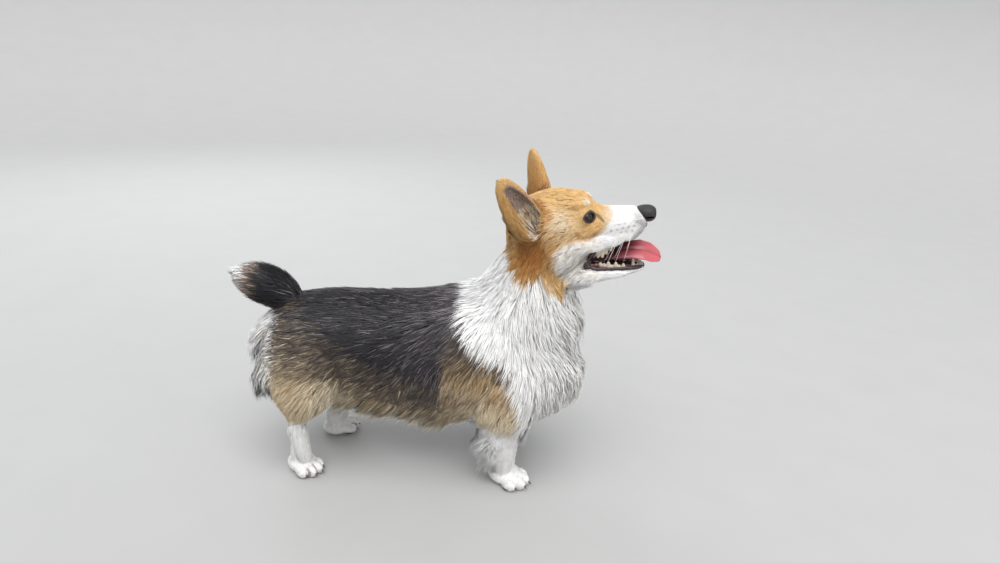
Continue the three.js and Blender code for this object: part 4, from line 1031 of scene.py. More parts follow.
# The markings: black saddle and tail, grey-brown sable below it, tan shoulders, thighs and head, white
# ruff, chest, muzzle, legs and tail tip. Each pigment: its colour at the root, the middle and the tip
PIGMENTS = {
    "black": ((0.022, 0.02, 0.022), (0.013, 0.012, 0.015), (0.009, 0.008, 0.01)),
    # silver-tipped strands: partly silver hair, partly painted sheen on the black coat
    "silver_sheen": ((0.04, 0.036, 0.04), (0.14, 0.122, 0.134), (0.3, 0.265, 0.285)),
    "smoke": ((0.05, 0.04, 0.034), (0.12, 0.094, 0.074), (0.04, 0.033, 0.03)),
    "sable": ((0.11, 0.084, 0.06), (0.32, 0.24, 0.152), (0.062, 0.048, 0.038)),
    "tan": ((0.3, 0.155, 0.05), (0.48, 0.255, 0.085), (0.62, 0.36, 0.135)),
    "fawn": ((0.24, 0.16, 0.085), (0.43, 0.3, 0.165), (0.56, 0.42, 0.25)),
    "rust": ((0.13, 0.04, 0.008), (0.26, 0.088, 0.014), (0.4, 0.155, 0.03)),
    "gold": ((0.47, 0.25, 0.08), (0.68, 0.4, 0.145), (0.78, 0.54, 0.26)),
    "cream": ((0.54, 0.42, 0.27), (0.72, 0.6, 0.42), (0.79, 0.7, 0.54)),
    "white": ((0.8, 0.782, 0.76), (0.885, 0.873, 0.857), (0.925, 0.918, 0.905)),
    "grey": ((0.42, 0.4, 0.38), (0.3, 0.285, 0.275), (0.2, 0.19, 0.185)),
    "brown": ((0.16, 0.08, 0.03), (0.2, 0.1, 0.04), (0.12, 0.06, 0.03)),
    "mauve": ((0.23, 0.155, 0.13), (0.32, 0.23, 0.19), (0.42, 0.32, 0.26)),
    "dark": ((0.016, 0.011, 0.01), (0.016, 0.011, 0.01), (0.016, 0.011, 0.01)),
}
pigment_names = list(PIGMENTS)
pigment_colours = np.array([PIGMENTS[name] for name in pigment_names])
# Edges of the markings on the body: (x, z) for the saddle's lower edge, (z, x) for the ruff's rear one
SADDLE_EDGE = [
    (-0.27, 0.262), (-0.208, 0.256), (-0.181, 0.246), (-0.147, 0.231), (-0.114, 0.207), (-0.08, 0.193),
    (-0.046, 0.18), (-0.011, 0.17), (0.023, 0.16), (0.039, 0.156), (0.046, 0.245), (0.3, 0.245)]
RUFF_EDGE = [
    (0.08, 0.15), (0.111, 0.155), (0.138, 0.161), (0.164, 0.15), (0.191, 0.138), (0.205, 0.144),
    (0.218, 0.127), (0.233, 0.098), (0.251, 0.077), (0.275, 0.06), (0.318, 0.067), (0.356, 0.074),
    (0.42, 0.08)]
# The tan of the head reaches down to this edge: (x, z) in the head's frame
FACE_EDGE = [
    (-0.07, 0.01), (-0.052, -0.031), (-0.035, -0.062), (-0.018, -0.081), (0.004, -0.08), (0.022, -0.062),
    (0.031, -0.04), (0.04, -0.026), (0.056, -0.0225), (0.071, -0.0225), (0.086, -0.0205), (0.096, -0.014),
    (0.105, -0.0055), (0.1126, 0.0066), (0.12, 0.02)]
WHISKER_WAYS = [                        # root (three numbers), way (three), length
    (0.138, 0.021, -0.002, -0.3, 0.95, 0.05, 0.04), (0.13, 0.0225, -0.003, -0.45, 0.9, 0.0, 0.046),
    (0.1215, 0.024, -0.0045, -0.55, 0.85, 0.0, 0.05), (0.143, 0.019, -0.008, -0.2, 0.85, -0.4, 0.038),
    (0.135, 0.021, -0.009, -0.35, 0.7, -0.6, 0.046), (0.127, 0.0225, -0.01, -0.45, 0.6, -0.65, 0.05),
    (0.119, 0.024, -0.0115, -0.6, 0.6, -0.5, 0.048), (0.14, 0.019, -0.015, -0.25, 0.45, -0.85, 0.04),
    (0.132, 0.0205, -0.016, -0.35, 0.35, -0.9, 0.044), (0.124, 0.022, -0.017, -0.42, 0.3, -0.88, 0.046),
    (0.146, 0.017, -0.003, -0.1, 0.9, 0.1, 0.03), (0.111, 0.025, -0.013, -0.6, 0.7, -0.3, 0.036),
    (0.13, 0.012, -0.087, -0.2, 0.4, -0.9, 0.016), (0.12, 0.014, -0.089, -0.4, 0.45, -0.8, 0.018)]
WHISKER_DOTS = 12
BROW_MARK = (0.08, 0.03)                # from here on (x, z) in the head's frame
ARC_MARK = (0.0782, -0.0022)            # the middle of the arc under the eye
ARC_RADIUS = 0.0181
TEAR_TOP = (0.0865, 0.015)
TEAR_RUN = (0.014, -0.0145)
TEMPLE = (0.043, 0.006)
BAND_TOP = (0.0908, 0.0265)             # the tan band on the muzzle is cut off above from here
BAND_SLOPE = -0.766
RUST = (-0.002, -0.036)                 # the reddest place, behind the cheek


def along_edge(edge, values):
    """The height of an edge drawn through a few places."""
    known, heights = np.array(edge).T
    return np.interp(values, known, heights)


def markings(points):
    """How much of each pigment the coat holds at each place; every row adds up to 1."""
    body = points - np.array(ZERO)
    x, y, z = body[:, 0], np.abs(body[:, 1]), body[:, 2]
    share = {name: np.zeros(len(points)) for name in pigment_names}

    def paint(name, cover):
        for other in share:
            share[other] *= 1 - cover
        share[name] += cover

    paint("sable", np.ones(len(points)))
    paint("cream", 0.18 * np.ones(len(points)))
    paint("fawn", 0.2 * ramp(0.21, 0.17, z))
    paint("cream", 0.7 * ramp(0.125, 0.09, z))
    # thigh: tan below and behind, cream along its front
    ahead_here = np.where(body[:, 1] > 0, LEFT_AHEAD["hind"], 0.0)
    leg_x = x - ahead_here
    paint("cream", 0.65 * ramp(0.185, 0.15, z) * ramp(-0.085, -0.115, leg_x))
    paint("fawn", 0.8 * ramp(0.185, 0.15, z) * ramp(-0.128, -0.16, leg_x))
    paint("cream", 0.25 * ramp(0.16, 0.13, z) * ramp(-0.12, -0.15, leg_x))
    # shoulder
    on_shoulder = ramp(0.02, 0.06, x) * ramp(0.262, 0.232, z) * ramp(0.02, 0.05, y)
    paint("fawn", 0.7 * on_shoulder)
    paint("tan", 0.22 * on_shoulder * ramp(0.15, 0.185, z))
    paint("cream", 0.3 * on_shoulder * ramp(0.2, 0.16, z))
    paint("sable", 0.5 * on_shoulder * ramp(0.085, 0.05, x))
    under_ruff = ramp(0.026, 0.004, along_edge(RUFF_EDGE, z) - x)
    paint("smoke", 0.5 * on_shoulder * under_ruff * ramp(0.185, 0.205, z))
    paint("brown", 0.45 * on_shoulder * ramp(0.018, 0.006, np.abs(z - 0.158 - 0.25 * (x - 0.1))))
    paint("cream", 0.4 * ramp(0.06, 0.095, x) * ramp(0.165, 0.13, z))
    # saddle, back and tail
    over = z - along_edge(SADDLE_EDGE, x)
    paint("smoke", 0.85 * ramp(-0.07, -0.01, over))
    saddle = ramp(-0.032, 0.022, over)
    paint("black", saddle)
    # silver strands through the saddle, more towards the withers and along the top of the back: partly silver
    # hair, partly painted sheen
    paint("silver_sheen", (0.07 + 0.16 * ramp(-0.06, 0.05, x) + 0.14 * ramp(0.0, 0.06, x) *
                     ramp(0.255, 0.285, z)) * saddle)
    paint("sable", 0.35 * saddle * ramp(0.03, 0.0, over))
    # rump and breeches
    behind = ramp(-0.198, -0.216, x - 0.4 * ahead_here) * ramp(0.266, 0.246, z)
    paint("white", 0.8 * behind)
    paint("grey", 0.35 * behind * ramp(-0.244, -0.212, x) * ramp(0.15, 0.185, z))
    paint("white", 0.6 * behind * ramp(0.185, 0.15, z))
    between_thighs = ramp(0.045, 0.028, y) * ramp(-0.125, -0.155, x) * ramp(0.25, 0.232, z)
    paint("white", 0.85 * between_thighs)
    # tail: black with a white tip
    on_tail = ramp(-0.196, -0.21, x) * ramp(0.243, 0.258, z + 0.25 * (x + 0.21))
    paint("black", on_tail)
    paint("mauve", 0.7 * on_tail * ramp(-0.238, -0.26, x))
    paint("white", on_tail * ramp(-0.257, -0.273, x))
    # white stockings, belly, ruff and chest
    paint("white", ramp(0.108, 0.092, z) * ramp(-0.12, -0.135, leg_x))
    paint("white", ramp(0.122, 0.098, z) * ramp(0.075, 0.1, x))
    # painted shade: dark brown slits in the fur where the toes part
    for paw in paw_frames.values():
        foot = in_frame(points, paw)
        in_front = ramp(0.013, 0.022, foot[:, 0]) * (foot[:, 0] < 0.045) * (foot[:, 2] < 0.024)
        for (inner, _), (outer, _) in zip(TOES, TOES[1:]):
            off_slit = np.abs(foot[:, 1] - (inner[1] + outer[1]) / 2)
            paint("brown", 0.75 * in_front * ramp(0.002, 0.0006, off_slit))
    paint("white", 0.85 * ramp(0.055, 0.03, y) * ramp(0.125, 0.105, z))
    paint("white", ramp(-0.006, 0.006, x - along_edge(RUFF_EDGE, z)))
    # painted shade: the front of the chest greyed below the ruff, as it lies in shade under the neck
    paint("grey", 0.2 * ramp(0.15, 0.205, x) * ramp(0.3, 0.23, z) * ramp(0.1, 0.13, z))
    # head
    head = in_frame(points, on_head)
    hx, hy, hz = head[:, 0], np.abs(head[:, 1]), head[:, 2]
    on_skull = ramp(-0.105, -0.09, hz - 0.2 * hx)
    edge = np.maximum(along_edge(FACE_EDGE, hx) - 0.35 * np.maximum(0.03 - hy, 0) * (hx < 0.02), -0.2)
    tan = ramp(-0.008, 0.006, hz - edge)
    band = ramp(-0.009, 0.005, BAND_TOP[1] + BAND_SLOPE * (hx - BAND_TOP[0]) - hz)
    tan *= np.where(hx > BAND_TOP[0], band, 1.0) * ramp(0.128, 0.096, hx)
    lock_x = 0.02 + 0.5 * np.clip(-0.06 - hz, 0, 0.052)
    side_lock = ramp(0.016, 0.008, np.abs(hx - lock_x)) * ramp(-0.12, -0.108, hz) * (hy > 0.03)
    tan = np.maximum(tan, side_lock * (hz < -0.03))
    tan *= ramp(-0.125, -0.115, hz)
    paint("cream", 0.3 * on_skull * ramp(0.11, 0.08, hx) * ramp(-0.05, 0, hx) * ramp(-0.11, -0.09, hz))
    paint("gold", tan)
    paint("tan", tan * (0.35 + 0.4 * ramp(0.045, -0.01, hx)))
    rust = np.exp(-((hx - RUST[0]) / 0.03) ** 2 - ((hz - RUST[1]) / 0.036) ** 2) * ramp(0.02, 0.04, hy)
    paint("rust", tan * np.clip(1.25 * rust, 0, 0.92))
    temple = np.exp(-((hx - TEMPLE[0]) / 0.024) ** 2 - ((hz - TEMPLE[1]) / 0.022) ** 2)
    temple *= ramp(0.03, 0.045, hy)
    paint("cream", 0.65 * tan * temple)
    paint("cream", 0.5 * tan * ramp(0.092, 0.108, hx))
    # face: pale brow spot, brown arc under the eye, dark tear line and rims
    brow = np.hypot((hx - BROW_MARK[0]) / 1.35, hz - BROW_MARK[1])
    paint("cream", tan * 0.95 * ramp(0.007, 0.0036, brow) * (hy < 0.036) * (hy > 0.012))
    paint("white", 0.4 * ramp(0.0045, 0.0025, brow) * (hy < 0.036) * (hy > 0.012))
    slant = np.arctan2(hz - ARC_MARK[1], hx - ARC_MARK[0])
    off_arc = np.abs(np.hypot(hx - ARC_MARK[0], hz - ARC_MARK[1]) - ARC_RADIUS)
    arc = ramp(0.0045, 0.001, off_arc) * ramp(-2.95, -2.5, slant) * ramp(-0.4, -0.85, slant)
    paint("rust", 0.4 * arc * (hy > 0.02))
    paint("brown", 0.25 * arc * (hy > 0.02))
    tear_x, tear_z = hx - TEAR_TOP[0], hz - TEAR_TOP[1]
    along_tear = np.clip((tear_x * TEAR_RUN[0] + tear_z * TEAR_RUN[1]) / np.dot(TEAR_RUN, TEAR_RUN), 0, 1)
    tear = np.hypot(tear_x - TEAR_RUN[0] * along_tear, tear_z - TEAR_RUN[1] * along_tear)
    tear_wide = 0.0052 - 0.0032 * along_tear
    paint("brown", 0.8 * ramp(tear_wide, tear_wide * 0.3, tear) * (hy > 0.02))
    for side in (RIGHT, LEFT):
        of_eye = in_frame(points, eye_frames[side])
        off_rim = np.hypot((of_eye[:, 1] + LID_FORWARD) / LID_OPENING[1], of_eye[:, 2] / LID_OPENING[2])
        # the dark rim reaches wider over the upper lid: dark lid skin, widened there by painted shade under
        # the brow
        thick = 1.24 + 0.1 * (of_eye[:, 2] > 0)
        paint("dark", ramp(thick, thick - 0.14, off_rim) * (of_eye[:, 0] > 0))
    # grey behind the nose and on the lip under it, and a grey dot at the root of each whisker
    paint("grey", 0.55 * ramp(0.137, 0.15, hx) * ramp(-0.004, 0.006, hz))
    paint("grey", 0.6 * ramp(0.01, 0.003, np.abs(hx - 0.157 + 0.75 * np.abs(hz + 0.01))) * (hz < 0)
          * (hz > -0.035))
    for root_x, root_y, root_z, *_ in WHISKER_WAYS[:WHISKER_DOTS]:
        off_root = np.sqrt((hx - root_x) ** 2 + (hy - root_y) ** 2 + (hz - root_z) ** 2)
        paint("grey", 0.7 * ramp(0.0024, 0.001, off_root))
    # ears
    for side in (RIGHT, LEFT):
        ear = in_frame(points, ear_frames[side])
        on_this = ramp(-0.004, 0.008, ear[:, 0]) * (np.abs(ear[:, 1]) < 0.034) * (np.abs(ear[:, 2]) < 0.032)
        paint("tan", on_this)
        paint("rust", 0.75 * on_this * ramp(0.06, 0.01, ear[:, 0]) * ramp(0.0, -0.012, ear[:, 2]))
        paint("gold", 0.6 * on_this * ramp(0.06, 0.09, ear[:, 0]))
    return np.stack([share[name] for name in pigment_names], axis=1)


# The coat itself: some two hundred thousand tufts, each a thin closed blade of a few faces that starts
# in the skin, lies over it along the coat's lie and draws together with its neighbours.
SEED = 41
LONG = 0.044                            # a tuft longer than this bends twice, a shorter one once
# places along a tuft from its root to its tip, how far it has risen there, and its width between the ends
LONG_SHARES, LONG_LIFTS, LONG_WIDTHS = (0, 0.34, 0.7, 1), (0, 0.55, 0.92, 1), (1, 0.72)
SHORT_SHARES, SHORT_LIFTS, SHORT_WIDTHS = (0, 0.45, 1), (0, 0.7, 1), (1,)
ROOT_DEPTH = 0.0012
THICKNESS = 0.34                        # of a tuft's half width
CLUMP_OF = 26                           # tufts to a lock
LOCK_REACH = 0.02                       # a tuft farther than this from its lock's leader stays on its own
SEEN_FROM = 0.62                        # a tuft takes the marking of the place under this share of it
SEEN_SPREAD = 0.07                      # and that place strays by this share of its length
LENGTHS, RISES = (0.78, 1.18), (0.45, 1.12)     # from the least to the most, in shares of the kind's own
HALVES, DRAWS = (0.75, 1.3), (0.6, 1.2)
LOCK_SWING, TUFT_SWING = 0.13, 0.08     # spread of the turn of locks and of their tufts
LOCK_SHADE, TUFT_SHADE = 0.09, 0.13     # and of their lightness
LOT_SPREAD = 0.3                        # how much the pigments vary within a lock
COAT_LEAN = 0.82                        # how far a tuft is shaded as the coat's surface, not as a round hair
UNDERSIDE_HAIR = 0.5                    # how much of its hair the belly keeps, out of sight
CUP_HAIR = 0.6                          # and the inside of an ear, with less of it near the tip
CUP_HIGH_HAIR = 0.45
CUP_HIGH = 0.03
CUP_REAR = 0.005                        # from here back the cup is haired like the ear's outside
FLOOR_GAP = 0.0006
PATCH = 0.003                           # each tuft's patch on the unwrapped skin
MOST_TUFT_FACES = 190000
chance = np.random.default_rng(SEED)

hide_mesh = hide.data
hide_spots = spots(hide_mesh)
hide_outs = np.empty(len(hide_spots) * 3, np.float32)
hide_mesh.vertices.foreach_get("normal", hide_outs)
hide_outs = hide_outs.reshape(-1, 3).astype(float)
corners = np.empty(len(hide_mesh.loops), np.int32)
hide_mesh.loops.foreach_get("vertex_index", corners)
corners = corners.reshape(-1, 3)
unwrap = np.empty(len(hide_mesh.loops) * 2, np.float32)
hide_mesh.uv_layers["OFBake"].data.foreach_get("uv", unwrap)
unwrap = unwrap.reshape(-1, 3, 2).astype(float)
a, b, c = (hide_spots[corners[:, i]] for i in range(3))
face_area = np.linalg.norm(np.cross(b - a, c - a), axis=1) / 2
face_middle = (a + b + c) / 3
face_out = hide_outs[corners].mean(1)
face_out /= np.linalg.norm(face_out, axis=1, keepdims=True)
face_way, face_facts, nearest_kind = lie_of_coat(face_middle, face_out)


def rear_of_cup(points):
    """Whether each place lies in the rear of an ear's cup."""
    held = np.zeros(len(points), bool)
    for side in (RIGHT, LEFT):
        across = (on_head.inverted() @ ear_frames[side]).col[1].x
        to_rear = in_frame(points, ear_frames[side])[:, 1] * -np.sign(across)
        held |= (points[:, 1] * side > 0) & (to_rear > CUP_REAR)
    return held


# No hair grows in the mouth, on the eyes' rims, under the nose or on the soles, and little in the ears.
face_hair = np.ones(len(corners))
front = np.flatnonzero(face_middle[:, 2] > 0.3)
for kind, bare_to in {"mouth": 0.0012, "lid": 0.0014}.items():
    gap = off_hollow(face_middle[front], kind, 0.01)
    face_hair[front[gap < bare_to]] = 0
cup_gap = off_hollow(face_middle[front], "cup", 0.01)
in_cup = front[(cup_gap < 0.001) & ~rear_of_cup(face_middle[front])]
of_head = in_frame(face_middle, on_head)
nose_tree = BVHTree.FromObject(nose, bpy.context.evaluated_depsgraph_get())
muzzle_end = np.flatnonzero(of_head[:, 0] > 0.135)
for i in muzzle_end:
    spot, normal, _, gap = nose_tree.find_nearest(face_middle[i])
    if gap < 0.001 or (Vector(face_middle[i]) - spot).dot(normal) < 0:
        face_hair[i] = 0
face_hair[(face_middle[:, 2] < 0.003) & (face_out[:, 2] < -0.3)] = 0
grows_in_cup = np.zeros(len(corners), bool)
grows_in_cup[in_cup] = True
high_in_cup = np.zeros(len(corners), bool)
face_hair[in_cup] = CUP_HAIR
for side in (RIGHT, LEFT):
    up_ear = in_frame(face_middle[in_cup], ear_frames[side])[:, 0]
    high = in_cup[(up_ear > CUP_HIGH) & (face_middle[in_cup, 1] * side > 0)]
    face_hair[high] = CUP_HIGH_HAIR
    high_in_cup[high] = True
height = face_middle[:, 2]
face_hair[(face_out[:, 2] < -0.75) & (height > 0.06) & (height < 0.16)] *= UNDERSIDE_HAIR
wanted = face_area * 1e4 * face_facts[:, 5] * face_hair
TUFT_COUNT = int(wanted.sum())
grown_on = chance.choice(len(corners), TUFT_COUNT, p=wanted / wanted.sum())
first, second = chance.random((2, TUFT_COUNT))
beyond = first + second > 1
first[beyond], second[beyond] = 1 - first[beyond], 1 - second[beyond]
inside = np.stack([1 - first - second, first, second], axis=1)
root = (hide_spots[corners[grown_on]] * inside[:, :, None]).sum(1)
root_uv = (unwrap[grown_on] * inside[:, :, None]).sum(1)
out = (hide_outs[corners[grown_on]] * inside[:, :, None]).sum(1)
out /= np.linalg.norm(out, axis=1, keepdims=True)
way, facts = face_way[grown_on], face_facts[grown_on]


def turned_about(vectors, pivots, angles):
    """Each vector turned about its own pivot, which it is square to."""
    return vectors * np.cos(angles)[:, None] + np.cross(pivots, vectors) * np.sin(angles)[:, None]


def nearest_on_hide(points, reach):
    """The nearest place on the skin to each point and the way out there; the point itself if none."""
    found_spots, found_outs = points.copy(), np.zeros_like(points)
    for i, point in enumerate(points):
        spot, normal, _, _ = hide_tree.find_nearest(point, reach)
        if spot is not None:
            found_spots[i], found_outs[i] = spot, normal
    return found_spots, found_outs


def laid(root, out, way, facts, shares, lifts):
    """The points of each tuft from its root to its tip, with the way out from the skin at each."""
    length = facts[:, 0] * chance.uniform(*LENGTHS, len(root))
    rise = facts[:, 1] * chance.uniform(*RISES, len(root))
    cling = facts[:, 4][:, None]
    base, way, out = root.copy(), way.copy(), out.copy()
    line, outs = [root - out * ROOT_DEPTH], [out]
    for last, share, lift in zip(shares, shares[1:], lifts[1:]):
        ahead = base + way * ((share - last) * length)[:, None]
        under, normal = nearest_on_hide(ahead, 0.03)
        follows = cling * ((normal * out).sum(1, keepdims=True) > 0.1)
        base = ahead + (under - ahead) * follows
        out = out + (normal - out) * 0.6 * follows
        out /= np.linalg.norm(out, axis=1, keepdims=True)
        straight = way - out * (way * out).sum(1, keepdims=True)
        way = way + (straight - way) * follows
        way /= np.linalg.norm(way, axis=1, keepdims=True)
        line.append(base + out * (rise * lift)[:, None])
        line[-1][:, 2] = np.maximum(line[-1][:, 2], FLOOR_GAP)
        outs.append(out)
    return np.stack(line, 1), np.stack(outs, 1)


hide_tree = BVHTree.FromObject(hide, bpy.context.evaluated_depsgraph_get())
tuft_groups = []
for is_long in (True, False):
    chosen = np.flatnonzero((facts[:, 0] > LONG) == is_long)
    shares, lifts = (LONG_SHARES, LONG_LIFTS) if is_long else (SHORT_SHARES, SHORT_LIFTS)
    count = len(chosen)
    # one tuft in so many leads a lock: the others lean towards it and take its turn
    leads = chance.choice(count, max(count // CLUMP_OF, 1), replace=False)
    leading = KDTree(len(leads))
    for i, lead in enumerate(leads):
        leading.insert(root[chosen[lead]], i)
    leading.balance()
    lead_of = np.array([leading.find(spot)[1] for spot in root[chosen]])
    swing = chance.normal(0, LOCK_SWING, len(leads))[lead_of] + chance.normal(0, TUFT_SWING, count)
    way_here = turned_about(way[chosen], out[chosen], swing)
    line, outs = laid(root[chosen], out[chosen], way_here, facts[chosen], shares, lifts)
    drawn = facts[chosen, 3] * chance.uniform(*DRAWS, count)
    for k, share in enumerate(shares):
        to_lead = line[leads[lead_of], k] - line[:, k]
        near = np.linalg.norm(to_lead, axis=1) < LOCK_REACH
        line[:, k] += to_lead * (drawn * share ** 1.6)[:, None] * near[:, None]
    shade = chance.normal(0, LOCK_SHADE, len(leads))[lead_of]
    # a lock is mostly of one pigment
    lot = (chance.random(len(leads))[lead_of] + chance.normal(0, LOT_SPREAD, count)) % 1
    tuft_groups.append((chosen, line, outs, shade, lot, is_long))

# The finish of the coat: the pigment that each tuft carries from root to tip, a soft gloss along it
def carrying(name, **sockets):
    """A material whose colour is what its mesh carries as its pigment, with its nodes and links."""
    material, nodes, links = finish(name, **sockets)
    carried = nodes.new("ShaderNodeAttribute")
    carried.attribute_name = "pigment"
    links.new(carried.outputs["Color"], nodes["Principled BSDF"].inputs["Base Color"])
    return material, nodes, links


def carry(mesh, hues):
    """Give a mesh the pigment of each of its points."""
    held = mesh.color_attributes.new("pigment", "FLOAT_COLOR", "POINT")
    opaque = np.ones((len(hues), 1))
    held.data.foreach_set("color", np.concatenate([hues, opaque], 1).astype(np.float32).ravel())


coat_finish, _, _ = carrying("coat_hair", Roughness=0.52, Specular_IOR_Level=0.3, Sheen_Weight=0.05,
                             Sheen_Roughness=0.45)


def tuft_mesh(name, line, outs, halves, colours, uvs, widths):
    """One object that holds many tufts: each a root point, one or two three-cornered rings and a tip."""
    count, steps = line.shape[:2]
    points, hues, patch = [line[:, 0]], [colours[:, 0]], [np.zeros((count, 2))]
    leans = [outs[:, 0]]
    for k in range(1, steps - 1):
        along = line[:, k + 1] - line[:, k - 1]
        side = np.cross(along, outs[:, k])
        side /= np.linalg.norm(side, axis=1, keepdims=True) + 1e-12
        half = (halves * widths[k - 1])[:, None]
        for across, up in ((1, 0), (0, 1), (-1, 0)):
            points.append(line[:, k] + side * half * across + outs[:, k] * half * THICKNESS * 2 * up)
            hues.append(colours[:, k])
            leans.append(outs[:, k] * COAT_LEAN + side * across * (1 - COAT_LEAN))
            patch.append(np.tile((across * PATCH / 2, k / (steps - 1) * PATCH), (count, 1)))
    points.append(line[:, -1])
    hues.append(colours[:, -1])
    patch.append(np.tile((0, PATCH), (count, 1)))
    leans.append(outs[:, -1])
    points, hues, patch, leans = (np.stack(rows, 1) for rows in (points, hues, patch, leans))
    leans /= np.linalg.norm(leans, axis=2, keepdims=True)
    size = points.shape[1]
    faces = []
    for i in range(3):
        n = (i + 1) % 3
        faces.append((0, 1 + i, 1 + n))
        for ring in range(steps - 3):
            low, high = 1 + 3 * ring, 4 + 3 * ring
            faces += [(low + i, high + n, low + n), (low + i, high + i, high + n)]
        last = size - 4
        faces.append((last + i, size - 1, last + n))
    faces = np.array(faces)
    every = (faces[None] + (np.arange(count) * size)[:, None, None]).reshape(-1, 3)
    mesh = bpy.data.meshes.new(name)
    mesh.vertices.add(count * size)
    mesh.vertices.foreach_set("co", points.astype(np.float32).ravel())
    mesh.loops.add(every.size)
    mesh.loops.foreach_set("vertex_index", every.astype(np.int32).ravel())
    mesh.polygons.add(len(every))
    mesh.polygons.foreach_set("loop_start", np.arange(0, every.size, 3, dtype=np.int32))
    mesh.update(calc_edges=True)
    mesh.shade_smooth()
    mesh.normals_split_custom_set_from_vertices(leans.reshape(-1, 3))
    carry(mesh, hues.reshape(-1, 3))
    spread = (uvs[:, None] + patch).reshape(-1, 2)[every.ravel()]
    mesh.uv_layers.new(name="OFBake").data.foreach_set("uv", spread.astype(np.float32).ravel())
    mesh.materials.append(coat_finish)
    made = bpy.data.objects.new(name, mesh)
    bpy.context.collection.objects.link(made)
    return made


COLOUR_STAGES = {True: (0.3, 0.9, 1.5, 2), False: (0.7, 1.3, 2)}     # root, body, tip are 0, 1, 2
CUP_PIGMENTS = {"cream": 0.6, "grey": 0.2, "tan": 0.2}
BRIGHTEST = 0.93
COAT_SLOTS = {
    "coat_black": ("back", "flank", "tail"), "coat_sable": ("haunch", "shank", "breeches", "fringe"),
    "coat_tan": ("shoulder", "muzzle", "lids", "face", "crown", "temple", "cheek", "ear", "furnishing"),
    "coat_white": ("bib", "frill", "ruff", "nape", "throat", "belly", "feather", "leg", "paw")}
slot_of_kind = np.array([[name in kinds for kinds in COAT_SLOTS.values()].index(True) for name in kind_names])
for chosen, line, outs, shade, lot, is_long in tuft_groups:
    count, steps = line.shape[:2]
    seen = line[:, 0] + (line[:, -1] - line[:, 0]) * SEEN_FROM
    seen += chance.normal(0, 1, (count, 3)) * facts[chosen, :1] * SEEN_SPREAD
    mix = markings(seen)
    picked = (mix.cumsum(1) / mix.sum(1, keepdims=True) < lot[:, None]).sum(1).clip(0, mix.shape[1] - 1)
    in_cup_here = grows_in_cup[grown_on[chosen]]
    cup_lot = chance.choice([pigment_names.index(name) for name in CUP_PIGMENTS], count,
                            p=list(CUP_PIGMENTS.values()))
    picked[in_cup_here] = cup_lot[in_cup_here]
    picked[high_in_cup[grown_on[chosen]]] = pigment_names.index("mauve")
    colours = np.empty((count, steps, 3))
    # short coats blend their pigments evenly, long ones vary from tuft to tuft
    evenness = np.clip(0.95 - facts[chosen, 0] / 0.06, 0.4, 0.9)[:, None, None]
    blend = np.einsum("ij,jkl->ikl", mix, pigment_colours)
    stages = pigment_colours[picked] * (1 - evenness) + blend * evenness
    stages[in_cup_here] = pigment_colours[picked[in_cup_here]]
    for k, stage in enumerate(COLOUR_STAGES[is_long]):
        low = min(int(stage), 1)
        colours[:, k] = stages[:, low] + (stages[:, low + 1] - stages[:, low]) * (stage - low)
    lightness = np.exp((shade + chance.normal(0, TUFT_SHADE, count)) * (1.25 - evenness[:, 0, 0]))
    colours = np.clip(colours * lightness[:, None, None], 0, BRIGHTEST)
    halves = facts[chosen, 2] * chance.uniform(*HALVES, count)
    faces_each = 12 if is_long else 6
    slot_here = slot_of_kind[nearest_kind[grown_on[chosen]]]
    for slot_number, slot in enumerate(COAT_SLOTS):
        own = np.flatnonzero(slot_here == slot_number)
        own = own[np.argsort(root[chosen[own], 0], kind="stable")]
        pieces = max(math.ceil(len(own) * faces_each / MOST_TUFT_FACES), 1)
        for number, part in enumerate(np.array_split(own, pieces)):
            name = f"{slot}_{'long' if is_long else 'short'}_{number + 1}"
            piece = tuft_mesh(name, line[part], outs[part], halves[part], colours[part],
                              root_uv[chosen[part]], LONG_WIDTHS if is_long else SHORT_WIDTHS)
            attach(piece, "root")

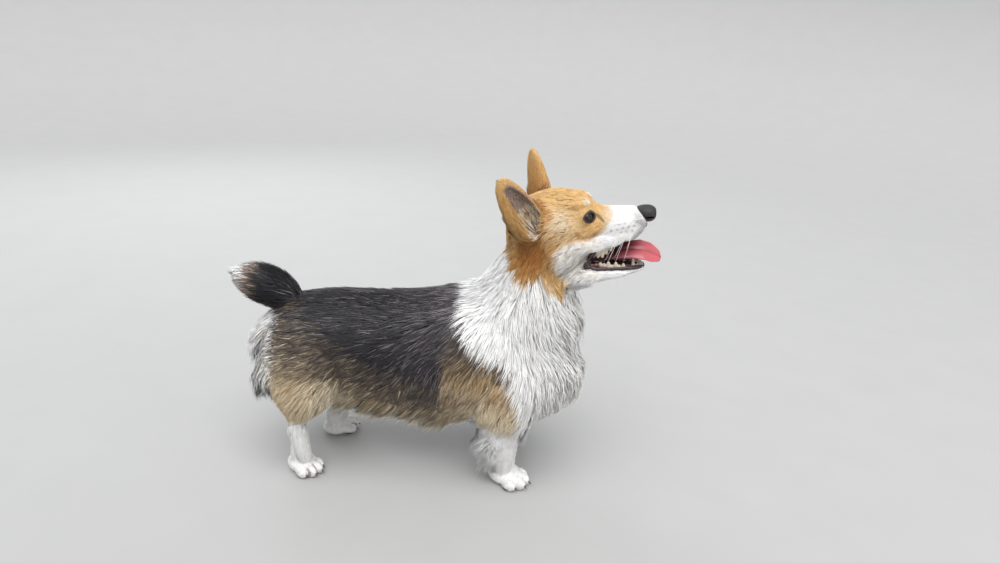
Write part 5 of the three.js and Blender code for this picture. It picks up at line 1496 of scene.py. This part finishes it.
# The skin carries the same markings as the coat on it, a little darker, as hair roots show through;
# inside the mouth it is dark red, inside the ears a greyed brown-pink.
UNDERCOAT = 0.95
CUP_SKIN = np.array((0.2, 0.125, 0.105))
MOUTH_SKIN = np.array((0.06, 0.012, 0.014))
SKIN_DEPTH = 0.0016                     # how far from a mouth or an ear cup its own colour reaches
skin_finish, nodes, links = carrying("skin", Roughness=0.7)
bumped(nodes, links, "ShaderNodeTexNoise", 900, "Fac", 0.3, 0.0004)
hide_hues = np.einsum("ij,jk->ik", markings(hide_spots), pigment_colours[:, :2].mean(1) * UNDERCOAT)
high_up = np.flatnonzero(hide_spots[:, 2] > 0.3)
for kind, colour in {"cup": CUP_SKIN, "mouth": MOUTH_SKIN}.items():
    cover = ramp(SKIN_DEPTH, SKIN_DEPTH * 0.6, off_hollow(hide_spots[high_up], kind, 0.01))[:, None]
    if kind == "cup":
        cover[rear_of_cup(hide_spots[high_up])] = 0
    hide_hues[high_up] += (colour - hide_hues[high_up]) * cover
carry(hide_mesh, hide_hues)
hide_mesh.materials.clear()
hide_mesh.materials.append(skin_finish)

# Whiskers: stiff white hairs in rows on each side of the upper lip, swept back and down, with two more
# on the chin. Long thin tufts of the same closed form as the coat.
WHISKER_SHARES = (0, 0.2, 0.45, 0.7, 0.88, 1)
WHISKER_WIDTHS = (1, 0.85, 0.65, 0.4)
WHISKER_HALF = 0.00028
WHISKER_DROOP = 0.008
whisker_lines, whisker_outs = [], []
for side in (RIGHT, LEFT):
    on_side = on_head @ Matrix.Diagonal((1, side, 1, 1))
    for *whisker, length in WHISKER_WAYS:
        under, normal, _, _ = hide_tree.find_nearest(on_side @ Vector(whisker[:3]))
        heading = (on_side.to_3x3() @ Vector(whisker[3:])).normalized()
        row = []
        for share in WHISKER_SHARES:
            droop = Vector((-0.3, 0, -1)) * WHISKER_DROOP * share ** 2 * length / 0.045
            lift = 0.003 * min(share * 5, 1) - ROOT_DEPTH * (share == 0)
            row.append(under + normal * lift + heading * share * length + droop)
        whisker_lines.append(row)
        whisker_outs.append([normal] * len(row))
whisker_lines, whisker_outs = np.array(whisker_lines), np.array(whisker_outs)
whisker_count = len(whisker_lines)
whisker_hues = np.tile(pigment_colours[pigment_names.index("white"), 2], (*whisker_lines.shape[:2], 1))
whiskers = tuft_mesh("whiskers", whisker_lines, whisker_outs, np.full(whisker_count, WHISKER_HALF),
                     whisker_hues, np.full((whisker_count, 2), 0.5), WHISKER_WIDTHS)
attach(whiskers, "root")

BARE_NODES = {"eye_right", "eye_left", "nose", "tongue"}
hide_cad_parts(*sorted(set(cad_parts) - BARE_NODES))
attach(hide, "root")
